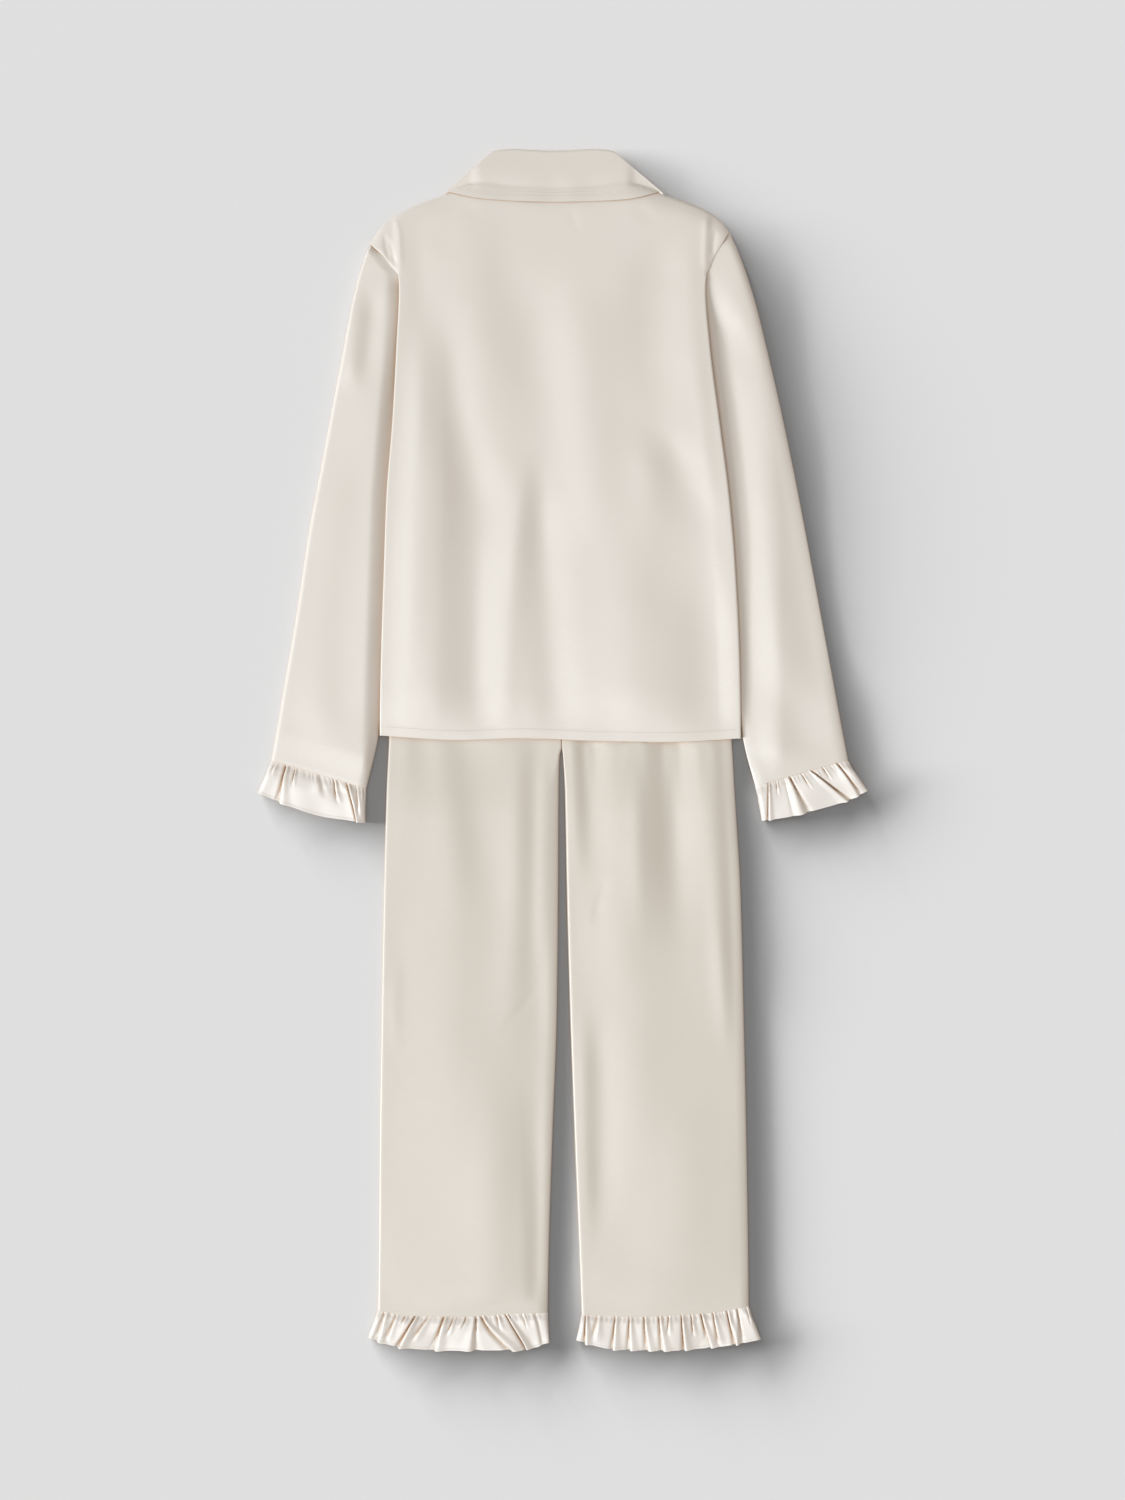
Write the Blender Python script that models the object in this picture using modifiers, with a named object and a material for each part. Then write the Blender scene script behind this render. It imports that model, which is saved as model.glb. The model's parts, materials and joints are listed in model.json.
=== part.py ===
"""Pyjama set laid out face down: a long-sleeved shirt with a turned-down collar over long trousers.

Metres, +Z up. The collar points to +Y, the trouser hems to -Y, and the cloth rests on z = 0.
Left is -X. Sizes in the tables are millimetres, and each cloth solid is a wall with its own thickness.
"""

import math
from bisect import bisect_right
from collections import namedtuple

import bmesh
import bpy

MM = 0.001

# Cloth
WALL = 1.0
SEAM_GAP = 0.3
RUFFLE_CLEAR = 0.8
ROLL = 1.3
FLOOR_LAYER = WALL / 2

# Heights of the middle of each layer
LEG_BACK_LAYER = 1.8
LEG_CROWN = 2.0
FRONT_OVER_TROUSERS = 3.9
FRONT_OVER_COLLAR = 1.8
PLACKET_LIFT = 1.9
PLACKET_LAP = 1.35
BACK_EDGE = 8.0
BACK_OVER_TROUSERS = 8.9
BACK_OVER_CHEST = 5.9
BACK_ARMHOLE = 6.0
BACK_SHOULDER = 3.3

# Places along the length
WAIST_TOP = 236
WAIST_SEAM = 206
CROTCH = -2
ARMHOLE_TURN = 495
SIDE_SEAM_FOOT = 15.0
CLOSING_FOOT = 10.0

# Shares of a length
UNDERARM = 0.62
SQUARE_FRONT = 0.7
STAND_END = 0.3
ROLL_END = 0.6
STAND_REACH = 0.9
FALL_START = 0.05

# Clearances between a sheet and the seam that it is sewn to
ARMHOLE_CLEAR = 2.0
SHOULDER_CLEAR = 1.6

# Shirt body: where its sides fold, and how far the cloth is turned under there
Side = namedtuple("Side", "y left right tuck")
SIDES = [
    Side(12, -190, 185.5, 4),
    Side(100, -188, 183.5, 10),
    Side(190, -185, 179, 17),
    Side(260, -182.5, 173, 22),
    Side(345, -176, 162, 28),
    Side(420, -172, 152.5, 16),
    Side(495, -169, 147.5, 4),
    Side(512, -184, 157, 3),
    Side(528, -199, 166.5, 3),
    Side(539, -199, 173, 3),
]

# Edges that run across the body
Across = namedtuple("Across", "x y")
HEM = [
    Across(-190, 15),
    Across(-107, 10.5),
    Across(-41, 12.5),
    Across(39, 9.5),
    Across(108, 8.5),
    Across(186, 12),
]
SHOULDERS = [
    Across(-199, 528),
    Across(-186, 545),
    Across(-162, 561),
    Across(-127, 575),
    Across(-88, 588),
    Across(-50, 584),
    Across(-10, 582),
    Across(30, 584),
    Across(68, 588),
    Across(111, 575),
    Across(148, 561),
    Across(165, 549),
    Across(173, 539),
]

# Soft troughs down the back: centre, width, top and bottom ends, and depth
Trough = namedtuple("Trough", "x_top x_bottom width top bottom depth")
BACK_TROUGHS = [
    Trough(-118, -108, 24, 400, -40, 0.9),
    Trough(-36, -30, 22, 250, -40, 0.5),
    Trough(-60, -34, 12, 540, 370, 0.5),
    Trough(92, 140, 30, 320, 60, 0.6),
]

# Armholes, from the shoulder point to the underarm
ARMHOLES = {
    "left": [(-199, 528), (-184, 511), (-171, 493), (-162, 465), (-155, 430), (-150, 390), (-147, 352)],
    "right": [(173, 539), (160, 517), (149.5, 493), (143, 465), (138, 430), (135, 390), (133, 352)],
}

# Sleeves: a flattened tube between an outer and an inner edge, from the armhole to the cuff seam.
# bend says how far a row follows the armhole's curve, and crown how high its top puffs up
Sleeve = namedtuple("Sleeve", "outer_x outer_y inner_x inner_y bend crown")
SLEEVES = {
    "left": [
        Sleeve(-199, 528, -147, 352, 1.0, 0.0),
        Sleeve(-208, 504, -148, 346, 0.6, 0.4),
        Sleeve(-218, 466, -149, 339, 0.3, 0.8),
        Sleeve(-228, 414, -150.5, 329, 0.1, 1.2),
        Sleeve(-238, 362, -153.5, 311, 0.0, 1.6),
        Sleeve(-251, 292, -161, 255, 0.0, 2.0),
        Sleeve(-263, 229, -168.5, 196, 0.0, 2.0),
        Sleeve(-276.5, 140, -179, 112, 0.0, 2.0),
        Sleeve(-288, 73, -186, 46, 0.0, 2.0),
        Sleeve(-295, 32, -194, 2, 0.0, 1.8),
        Sleeve(-302.5, -11, -204.2, -40, 0.0, 1.2),
    ],
    "right": [
        Sleeve(173, 539, 133, 352, 1.0, 0.0),
        Sleeve(186, 509, 135, 346, 0.6, 0.4),
        Sleeve(200, 466, 136.5, 339, 0.3, 0.8),
        Sleeve(213, 414, 138.5, 329, 0.1, 1.2),
        Sleeve(225, 362, 142, 311, 0.0, 1.6),
        Sleeve(240, 291, 151.5, 255, 0.0, 2.0),
        Sleeve(252, 229, 161, 196, 0.0, 2.0),
        Sleeve(268.5, 140, 173.5, 112, 0.0, 2.0),
        Sleeve(281, 73, 182, 46, 0.0, 2.0),
        Sleeve(288.5, 32, 189.5, 4, 0.0, 1.8),
        Sleeve(296.5, -10, 200.5, -37.5, 0.0, 1.2),
    ],
}
SLEEVE_ROLL = 1.2
WAIST_ROLL = 1.0
RUFFLE_ROLL = 1.2
RUFFLE_RIPPLE = 0.9

# Trouser legs: outer and inner edge of each leg
Leg = namedtuple("Leg", "y outer_left inner_left inner_right outer_right")
LEGS = [
    Leg(-590, -192, -15.7, 20, 193.5),
    Leg(-520, -191, -14.5, 17.5, 192.8),
    Leg(-396, -190, -10.5, 12.5, 190.8),
    Leg(-270, -188, -6, 8, 188),
    Leg(-146, -185.6, -4.7, 4.7, 184.8),
    Leg(-40, -182.5, -4.2, 2.6, 178.5),
    Leg(-6, -180.8, -3.2, 0.8, 176.6),
    Leg(4, -180.3, -0.7, -0.2, 176),
    Leg(60, -178.5, -0.7, -0.2, 174),
    Leg(130, -169, -0.7, -0.2, 164),
    Leg(180, -152, -0.7, -0.2, 148),
    Leg(206, -140, -0.7, -0.2, 136),
]
LEG_ENDS = {
    "left": [(0.0, -582.5), (0.2, -587.5), (0.5, -588.5), (0.8, -585.5), (1.0, -584.5)],
    "right": [(0.0, -586.5), (0.35, -588.5), (0.6, -586.5), (0.8, -584), (1.0, -577.5)],
}
LEG_TROUGHS = [
    Trough(-95, -90, 14, 60, -150, 0.5),
    Trough(-35, -42, 16, -90, -380, 0.5),
    Trough(82, 90, 18, 60, -190, 0.9),
    Trough(20, 40, 12, 60, -60, 0.6),
    Trough(30, 40, 14, -230, -520, 0.5),
]

# Ruffles: the seam's two ends, then the free edge from its outer to its inner end
RUFFLE_EDGES = {
    "cuff_ruffle_left": ((-302.5, -11.8), (-204.4, -40.8)),
    "cuff_ruffle_right": ((296.5, -10.8), (200.7, -38.3)),
}
FREE_EDGES = {
    "cuff_ruffle_left": [(-316.5, -44.5), (-290.5, -55.5), (-250.5, -69), (-220, -73.5), (-205, -76)],
    "cuff_ruffle_right": [(317, -42.5), (298, -52), (268.5, -61), (232.5, -70), (207.5, -73.5)],
    "leg_ruffle_left": [(-202, -611), (-165, -621), (-120, -624), (-45, -623.5), (-14, -616)],
    "leg_ruffle_right": [(14.5, -613.5), (56, -623), (108, -624), (160, -620.5), (206, -612.5)],
}
Pleats = namedtuple("Pleats", "count low high sway")
PLEATS = {
    "cuff_ruffle_left": Pleats(6, 3.4, 7.5, 0.35),
    "cuff_ruffle_right": Pleats(7, 3.4, 7.5, -0.3),
    "leg_ruffle_left": Pleats(10, 4.2, 9.0, 0.2),
    "leg_ruffle_right": Pleats(12, 4.2, 9.0, -0.25),
}
POINTS_PER_PLEAT = 3

# Collar: neck seam, roll line and free edge, from the left leaf round the back to the right leaf
Collar = namedtuple("Collar", "neck_x neck_y roll_x roll_y edge_x edge_y neck_z edge_z")
COLLAR = [
    Collar(-26, 490, -22, 485, -72, 456, 1.9, 0.5),
    Collar(-45, 523, -39, 517, -97, 497, 1.9, 0.5),
    Collar(-65, 559, -56, 556, -113, 540, 1.9, 0.5),
    Collar(-80, 586, -69, 590, -121, 564, 1.9, 0.5),
    Collar(-82, 592, -76, 608, -126.5, 580, 2.0, 0.6),
    Collar(-81, 595, -78, 614, -128, 584, 2.6, 2.9),
    Collar(-76, 592, -74, 622, -125, 582, 3.3, 5.4),
    Collar(-50, 588, -50, 624, -84, 572, 3.3, 5.8),
    Collar(-10, 585.5, -9, 622, -9, 568.5, 3.3, 6.1),
    Collar(30, 588, 32, 624, 65, 571, 3.3, 5.8),
    Collar(56, 592, 55, 622, 108, 584, 3.3, 5.4),
    Collar(61, 595, 59, 614, 111, 586, 2.6, 2.9),
    Collar(62, 592, 57, 608, 109.5, 582, 2.0, 0.6),
    Collar(60, 586, 50, 590, 104, 566, 1.9, 0.5),
    Collar(44, 559, 36, 556, 96, 540, 1.9, 0.5),
    Collar(24, 523, 18, 517, 80, 497, 1.9, 0.5),
    Collar(5, 490, 1, 485, 54, 456, 1.9, 0.5),
]

# Front closing
PLACKET_HALF = 13
PLACKET_TOP = 478
NECK_END = 486
NECK_END_OUT = 20
BUTTONS = 5
BUTTON_PITCH = 92
TOP_BUTTON = 462
BUTTON_RADIUS = 6.0
BUTTON_THICKNESS = 1.5
BUTTON_OVER_TROUSERS = 3.4
BUTTON_SIDES = 16

# Sheet divisions
BACK_COLUMNS = 14
BACK_ROWS = 15
TUCK_COLUMNS = 5
FRONT_COLUMNS = 12
FRONT_ROWS = 12
LEG_COLUMNS = 6
LEG_ROWS = 14
SLEEVE_SIDE_COLUMNS = 6
SLEEVE_ROWS = 12
ROLL_STEPS = 3
RUFFLE_ROWS = 3
COLLAR_COLUMNS = 26
COLLAR_ROWS = 8


def ramp(low, high, value):
    """0 at or before low, 1 at or past high, with a smooth rise between."""
    t = min(1.0, max(0.0, (value - low) / (high - low)))
    return t * t * (3.0 - 2.0 * t)


def mix(start, end, t):
    """Number t of the way from start to end."""
    return start + (end - start) * t


def mix_point(start, end, t):
    """Point t of the way from start to end."""
    return tuple(mix(a, b, t) for a, b in zip(start, end))


def through(keys, values, at):
    """Value at a key on a curve through the values that never overshoots them."""
    if at <= keys[0]:
        return values[0]
    if at >= keys[-1]:
        return values[-1]
    steps = [b - a for a, b in zip(keys, keys[1:])]
    slopes = [(b - a) / step for a, b, step in zip(values, values[1:], steps)]
    tangents = [slopes[0]]
    for before, after in zip(slopes, slopes[1:]):
        same_way = before * after > 0
        tangents.append(2 * before * after / (before + after) if same_way else 0.0)
    tangents.append(slopes[-1])
    i = bisect_right(keys, at) - 1
    t = (at - keys[i]) / steps[i]
    start = (1 + 2 * t) * (1 - t) ** 2 * values[i] + t * (1 - t) ** 2 * steps[i] * tangents[i]
    end = t * t * (3 - 2 * t) * values[i + 1] - t * t * (1 - t) * steps[i] * tangents[i + 1]
    return start + end


def column(rows, key, name, at):
    """A table's column where its key column has this value."""
    keys = [getattr(row, key) for row in rows]
    return through(keys, [getattr(row, name) for row in rows], at)


def on_path(points, t):
    """Point t of the way along a path, counted in points, with straight runs between them."""
    place = min(max(t, 0.0), 1.0) * (len(points) - 1)
    i = min(int(place), len(points) - 2)
    return mix_point(points[i], points[i + 1], place - i)


def trough_depth(troughs, x, y):
    """How far the soft troughs lower the cloth at a point."""
    depth = 0.0
    for trough in troughs:
        t = (trough.top - y) / (trough.top - trough.bottom)
        centre = mix(trough.x_top, trough.x_bottom, min(1.0, max(0.0, t)))
        fade = ramp(0.0, 0.35, t) * (1.0 - ramp(0.9, 1.0, t))
        depth += trough.depth * fade * math.exp(-(((x - centre) / trough.width) ** 2))
    return depth


def body_centre(y):
    """Middle of the shirt body, where the fronts close."""
    return -2.0 - 9.0 * y / ARMHOLE_TURN


# ---- building ----


def plain_material(name, color, roughness):
    """A Principled material with one colour and roughness."""
    material = bpy.data.materials.new(name)
    material.use_nodes = True
    shader = material.node_tree.nodes["Principled BSDF"]
    shader.inputs["Base Color"].default_value = (*color, 1.0)
    shader.inputs["Roughness"].default_value = roughness
    shader.inputs["Metallic"].default_value = 0.0
    return material


def cloth(name, columns, rows, place, material, ring=False):
    """A cloth wall: a grid whose points go where place(u, v) says in millimetres, made WALL thick.

    With ring, the last column joins the first, as round a tube.
    """
    shape = bmesh.new()
    bmesh.ops.create_grid(shape, x_segments=columns, y_segments=rows, size=1.0)
    for vertex in shape.verts:
        u = (vertex.co.x + 1.0) / 2.0
        v = (vertex.co.y + 1.0) / 2.0
        vertex.co = [value * MM for value in place(u % 1.0 if ring and u > 1.0 - 1e-6 else u, v)]
    if ring:
        bmesh.ops.remove_doubles(shape, verts=shape.verts, dist=1e-7)
    bmesh.ops.recalc_face_normals(shape, faces=shape.faces)
    mesh = bpy.data.meshes.new(name)
    shape.to_mesh(mesh)
    shape.free()
    mesh.materials.append(material)
    obj = bpy.data.objects.new(name, mesh)
    GARMENT.objects.link(obj)
    wall = obj.modifiers.new("wall", "SOLIDIFY")
    wall.thickness = WALL * MM
    wall.offset = 0.0
    mesh.shade_smooth()
    return obj


# ---- shirt body ----


def back_outline(u, v):
    """Plan place on the back panel: u across from the left side to the right, v up from the hem."""
    left_top = SHOULDERS[0]
    right_top = SHOULDERS[-1]
    left_y = mix(HEM[0].y, left_top.y, v)
    right_y = mix(HEM[-1].y, right_top.y, v)
    left_x = column(SIDES, "y", "left", left_y)
    right_x = column(SIDES, "y", "right", right_y)
    hem_x = mix(HEM[0].x, HEM[-1].x, u)
    top_x = mix(left_top.x, right_top.x, u)
    hem_rise = column(HEM, "x", "y", hem_x) - mix(HEM[0].y, HEM[-1].y, u)
    top_rise = column(SHOULDERS, "x", "y", top_x) - mix(left_top.y, right_top.y, u)
    x = mix(left_x, right_x, u)
    y = mix(left_y, right_y, u) + hem_rise * (1.0 - v) + top_rise * v
    return x, y


def back_height(x, y):
    """Middle of the back panel's cloth above the floor."""
    side = column(SIDES, "y", "left" if x < body_centre(y) else "right", y)
    inward = abs(x - side)
    middle = mix(BACK_OVER_TROUSERS, BACK_OVER_CHEST, ramp(250, 330, y))
    body = mix(BACK_EDGE, middle, ramp(10, 90, inward))
    body -= trough_depth(BACK_TROUGHS, x, y) * ramp(0, 60, inward) * (1.0 - ramp(250, 330, y) * 0.7)
    top = column(SHOULDERS, "x", "y", x)
    edge = mix(BACK_ARMHOLE, BACK_SHOULDER, ramp(8, 45, inward))
    return mix(edge, body, ramp(2, 75, top - y))


def back_place(u, v):
    """Back panel with its turned-under sides: the outer columns curl round the side folds."""
    total = BACK_COLUMNS + 2 * TUCK_COLUMNS
    step = u * total
    if TUCK_COLUMNS <= step <= total - TUCK_COLUMNS:
        x, y = back_outline((step - TUCK_COLUMNS) / BACK_COLUMNS, v)
        return x, y, back_height(x, y)
    left = step < TUCK_COLUMNS
    x, y = back_outline(0.0 if left else 1.0, v)
    inward = 1.0 if left else -1.0
    top = back_height(x, y)
    outward_step = TUCK_COLUMNS - step if left else step - (total - TUCK_COLUMNS)
    tuck = column(SIDES, "y", "tuck", y)
    if outward_step <= ROLL_STEPS + 1e-6:
        turn = math.pi * outward_step / ROLL_STEPS
        return x - inward * ROLL * math.sin(turn), y, top - ROLL * (1.0 - math.cos(turn))
    reach = (outward_step - ROLL_STEPS) / (TUCK_COLUMNS - ROLL_STEPS)
    return x + inward * tuck * reach, y, top - 2 * ROLL


def over_trousers(y):
    """Height of a layer that lies on the trousers, and on the floor past their waist."""
    return mix(FRONT_OVER_TROUSERS, FLOOR_LAYER, ramp(262, 300, y))


def front_height(y):
    """Middle of the front panels' cloth, away from the button edges."""
    over_collar = (FRONT_OVER_COLLAR - FLOOR_LAYER) * ramp(400, 444, y)
    return over_trousers(y) + over_collar


def placket_height(side, x, y):
    """Front height with the lift over the buttons, and the lap of the left front over the right."""
    out = body_centre(y) - x if side == "left" else x - body_centre(y)
    strip = over_trousers(y) + PLACKET_LIFT + (PLACKET_LAP if side == "left" else 0.0)
    return mix(strip, front_height(y), ramp(PLACKET_HALF + 5, PLACKET_HALF + 25, out))


def front_place(side):
    """Place function of one front: v up from the hem, u from the side seam to the button edge."""
    sign = -1.0 if side == "left" else 1.0
    armhole = ARMHOLES[side]
    shoulder = [point for point in SHOULDERS if (point.x < -80 if side == "left" else point.x > 60)]
    shoulder = [(point.x, point.y) for point in shoulder]
    if side == "right":
        shoulder = shoulder[::-1]
    neck_side = shoulder[-1]
    neck_end = (body_centre(NECK_END) + sign * NECK_END_OUT, NECK_END)
    closing = (body_centre(PLACKET_TOP) - sign * PLACKET_HALF, PLACKET_TOP)
    top_path = shoulder + [mix_point(neck_side, neck_end, t) for t in (0.25, 0.5, 0.75, 1.0)] + [closing]
    clear = ARMHOLE_CLEAR * -sign

    def seam_side(v):
        """Side seam up to the underarm, then the armhole up to the shoulder."""
        if v < UNDERARM:
            y = mix(SIDE_SEAM_FOOT, armhole[-1][1], v / UNDERARM)
            x = column(SIDES, "y", side, y) - sign * column(SIDES, "y", "tuck", y)
            return x + clear, y
        x, y = on_path(armhole, 1.0 - (v - UNDERARM) / (1.0 - UNDERARM))
        return x + clear, y - ARMHOLE_CLEAR

    def place(u, v):
        outer = seam_side(v)
        inner_y = mix(CLOSING_FOOT, PLACKET_TOP, v)
        inner = (body_centre(inner_y) - sign * PLACKET_HALF, inner_y)
        foot = seam_side(0.0)
        hem_x = mix(foot[0], body_centre(CLOSING_FOOT) - sign * PLACKET_HALF, u)
        hem_rise = column(HEM, "x", "y", hem_x) - mix(foot[1], CLOSING_FOOT, u)
        top = on_path(top_path, u)
        top_left = seam_side(1.0)
        top_offset = [top[k] - mix(top_left[k], closing[k], u) for k in (0, 1)]
        x = mix(outer[0], inner[0], u) + top_offset[0] * v**3
        level = min(1.0, u / SQUARE_FRONT)
        level_offset = mix(outer[1], inner[1], u) - mix(outer[1], inner[1], level)
        y = mix(outer[1], inner[1], level) + (top_offset[1] + level_offset) * v**3 + hem_rise * (1.0 - v)
        return x, y, placket_height(side, x, y)

    return place


# ---- sleeves ----


def sleeve_row(side, v):
    """Outer point, inner point, bend and crown of a sleeve, v down from the armhole to the cuff."""
    rows = SLEEVES[side]
    keys = [i / (len(rows) - 1) for i in range(len(rows))]
    return [through(keys, [row[k] for row in rows], v) for k in range(len(rows[0]))]


def sleeve_chord(side, v, t):
    """Plan place t of the way from a sleeve's inner edge to its outer edge."""
    outer_x, outer_y, inner_x, inner_y, bend, _ = sleeve_row(side, v)
    x, y = mix(inner_x, outer_x, t), mix(inner_y, outer_y, t)
    curve = on_path(ARMHOLES[side], 1.0 - t)
    straight = mix_point(ARMHOLES[side][-1], ARMHOLES[side][0], t)
    clear = ARMHOLE_CLEAR if side == "left" else -ARMHOLE_CLEAR
    x += (curve[0] - straight[0] - clear) * bend
    y += (curve[1] - straight[1] - SHOULDER_CLEAR) * bend
    return x, y


def flat_tube(turn, low, high, roll):
    """Way across and height round a flattened tube: turn runs 0 to 1 round it from its inner edge.

    low(t) and high(t) give the heights of the two layers at a place t across it.
    """
    side_steps = SLEEVE_SIDE_COLUMNS
    total = 2 * side_steps + 2 * ROLL_STEPS
    step = turn * total
    if step <= side_steps:
        t = step / side_steps
        return t, high(t), 0.0
    if step <= side_steps + ROLL_STEPS:
        angle = math.pi * (step - side_steps) / ROLL_STEPS
        middle = (high(1.0) + low(1.0)) / 2
        half = (high(1.0) - low(1.0)) / 2
        return 1.0, middle + half * math.cos(angle), roll * math.sin(angle)
    if step <= 2 * side_steps + ROLL_STEPS:
        t = 1.0 - (step - side_steps - ROLL_STEPS) / side_steps
        return t, low(t), 0.0
    angle = math.pi * (step - 2 * side_steps - ROLL_STEPS) / ROLL_STEPS
    middle = (high(0.0) + low(0.0)) / 2
    half = (high(0.0) - low(0.0)) / 2
    return 0.0, middle - half * math.cos(angle), -roll * math.sin(angle)


def end_inset(t, roll):
    """How far a tube's edge is drawn in, so that its roll ends at the outline."""
    if t == 1.0:
        return roll
    if t == 0.0:
        return -roll
    return 0.0


def sleeve_place(side):
    """Place function of a sleeve: u round the flattened tube, v down from the armhole."""

    def place(u, v):
        crown = sleeve_row(side, v)[5]

        def low(t):
            return FLOOR_LAYER

        def high(t):
            return FLOOR_LAYER + 2 * SLEEVE_ROLL + crown * math.sin(math.pi * min(1.0, t**1.6)) ** 0.8

        t, height, past = flat_tube(u, low, high, SLEEVE_ROLL)
        x, y = sleeve_chord(side, v, t)
        outward = -1.0 if side == "left" else 1.0
        return x + outward * (past - end_inset(t, SLEEVE_ROLL)), y, height

    return place


# ---- trousers ----


def leg_outline(side, u, v):
    """Plan place on a leg panel: u from its -X edge to its +X edge, v up from the hem seam."""
    names = ("outer_left", "inner_left") if side == "left" else ("inner_right", "outer_right")
    ends = LEG_ENDS[side]
    end_y = through([t for t, _ in ends], [y for _, y in ends], u)
    y = mix(end_y, WAIST_SEAM, v)
    left = column(LEGS, "y", names[0], y)
    right = column(LEGS, "y", names[1], y)
    if y > CROTCH and side == "left":
        right = LEGS[-1].inner_left
    elif y > CROTCH:
        left = LEGS[-1].inner_right
    return mix(left, right, u), y


def leg_front_place(side):
    """Place function of a front leg panel, flat on the floor."""

    def place(u, v):
        x, y = leg_outline(side, u, v)
        return x, y, FLOOR_LAYER

    return place


def leg_back_place(side):
    """Place function of a back leg panel, lying on the front one with a low crown."""

    def place(u, v):
        x, y = leg_outline(side, u, v)
        crown = LEG_CROWN * math.sin(math.pi * u) ** 0.6 if 0.0 < u < 1.0 else 0.0
        free = 1.0 - ramp(-60, 2, y)
        dip = trough_depth(LEG_TROUGHS, x, y) * (1.0 if 0.0 < u < 1.0 else 0.0)
        return x, y, LEG_BACK_LAYER + (crown - dip) * free

    return place


def waistband_place(u, v):
    """Waistband: a flattened ring of elastic casing."""

    def low(t):
        return FLOOR_LAYER

    def high(t):
        return FLOOR_LAYER + 2 * WAIST_ROLL

    t, height, past = flat_tube(u, low, high, WAIST_ROLL)
    x = mix(LEGS[-1].outer_left + WAIST_ROLL, LEGS[-1].outer_right - WAIST_ROLL, t) + past
    return x, mix(WAIST_SEAM + SEAM_GAP, WAIST_TOP, v), height


# ---- ruffles ----


def ruffle_seam(name, t):
    """Plan place on a ruffle's gathered edge, t from its outer to its inner end."""
    if name in RUFFLE_EDGES:
        return mix_point(*RUFFLE_EDGES[name], t)
    side = "left" if name.endswith("left") else "right"
    x, y = leg_outline(side, t, 0.0)
    return x, y - RUFFLE_CLEAR


def ruffle_place(name):
    """Place function of a gathered ring: u round it, v from the seam to the free edge."""
    pleats = PLEATS[name]
    steps = pleats.count * POINTS_PER_PLEAT
    total = 2 * steps + 2 * ROLL_STEPS

    def wave(t, v):
        """Pleat height at a place across: leaning, and of uneven size."""
        uneven = 0.75 + 0.25 * math.sin(5.1 * t * pleats.count / 3 + 1.7)
        phase = 2 * math.pi * (t * pleats.count + pleats.sway * (v - 0.5))
        return uneven * (0.5 - 0.5 * math.cos(phase))

    def high(t, v):
        fade = mix(0.35, 1.0, v)
        return mix(pleats.low, pleats.high, wave(t, v) * fade)

    def low(t, v):
        return FLOOR_LAYER + RUFFLE_RIPPLE * (0.5 - 0.5 * math.cos(4 * math.pi * t * pleats.count / 3)) * v

    def place(u, v):
        step = u * total
        outward = math.copysign(1.0, ruffle_seam(name, 0.0)[0] - ruffle_seam(name, 1.0)[0])
        if step <= steps:
            t, height, past = step / steps, high(step / steps, v), 0.0
        elif step <= steps + ROLL_STEPS:
            angle = math.pi * (step - steps) / ROLL_STEPS
            t = 1.0
            height = mix(low(1.0, v), high(1.0, v), 0.5 + 0.5 * math.cos(angle))
            past = -RUFFLE_ROLL * math.sin(angle)
        elif step <= 2 * steps + ROLL_STEPS:
            t = 1.0 - (step - steps - ROLL_STEPS) / steps
            height, past = low(t, v), 0.0
        else:
            angle = math.pi * (step - 2 * steps - ROLL_STEPS) / ROLL_STEPS
            t = 0.0
            height = mix(high(0.0, v), low(0.0, v), 0.5 + 0.5 * math.cos(angle))
            past = RUFFLE_ROLL * math.sin(angle)
        seam = ruffle_seam(name, t)
        edge = on_path(FREE_EDGES[name], t)
        x, y = mix_point(seam, edge, v)
        return x + outward * (past + end_inset(t, RUFFLE_ROLL)), y, height

    return place


# ---- collar ----


def collar_place(u, v):
    """Collar: u from the left leaf round the back of the neck to the right leaf.

    v runs from the neck seam up the stand, over the roll line and down the fall to its edge.
    """
    keys = [i / (len(COLLAR) - 1) for i in range(len(COLLAR))]
    row = Collar(*(through(keys, [line[k] for line in COLLAR], u) for k in range(len(COLLAR[0]))))
    neck = (row.neck_x, row.neck_y)
    roll = (row.roll_x, row.roll_y)
    edge = (row.edge_x, row.edge_y)
    middle = (row.neck_z + row.edge_z) / 2
    half = (row.edge_z - row.neck_z) / 2
    if v <= STAND_END:
        x, y = mix_point(neck, roll, STAND_REACH * v / STAND_END)
        return x, y, row.neck_z
    if v <= ROLL_END:
        angle = math.pi * (v - STAND_END) / (ROLL_END - STAND_END)
        stand_side = mix_point(neck, roll, mix(STAND_REACH, 1.0, math.sin(angle)))
        fall_side = mix_point(edge, roll, mix(1.0 - FALL_START, 1.0, math.sin(angle)))
        blend = 0.5 - 0.5 * math.cos(angle)
        x, y = mix_point(stand_side, fall_side, blend)
        return x, y, middle - half * math.cos(angle)
    x, y = mix_point(roll, edge, mix(FALL_START, 1.0, (v - ROLL_END) / (1.0 - ROLL_END)))
    return x, y, row.edge_z


# ---- buttons ----


def add_button(index, material):
    """A flat round button under the lower front."""
    y = TOP_BUTTON - BUTTON_PITCH * index
    low = BUTTON_OVER_TROUSERS if y < WAIST_TOP else 0.0
    shape = bmesh.new()
    bmesh.ops.create_cone(
        shape,
        cap_ends=True,
        segments=BUTTON_SIDES,
        radius1=BUTTON_RADIUS * MM,
        radius2=BUTTON_RADIUS * MM,
        depth=BUTTON_THICKNESS * MM,
    )
    mesh = bpy.data.meshes.new(f"button_{index + 1}")
    shape.to_mesh(mesh)
    shape.free()
    mesh.materials.append(material)
    button = bpy.data.objects.new(f"button_{index + 1}", mesh)
    button.location = (body_centre(y) * MM, y * MM, (low + BUTTON_THICKNESS / 2) * MM)
    GARMENT.objects.link(button)


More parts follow.
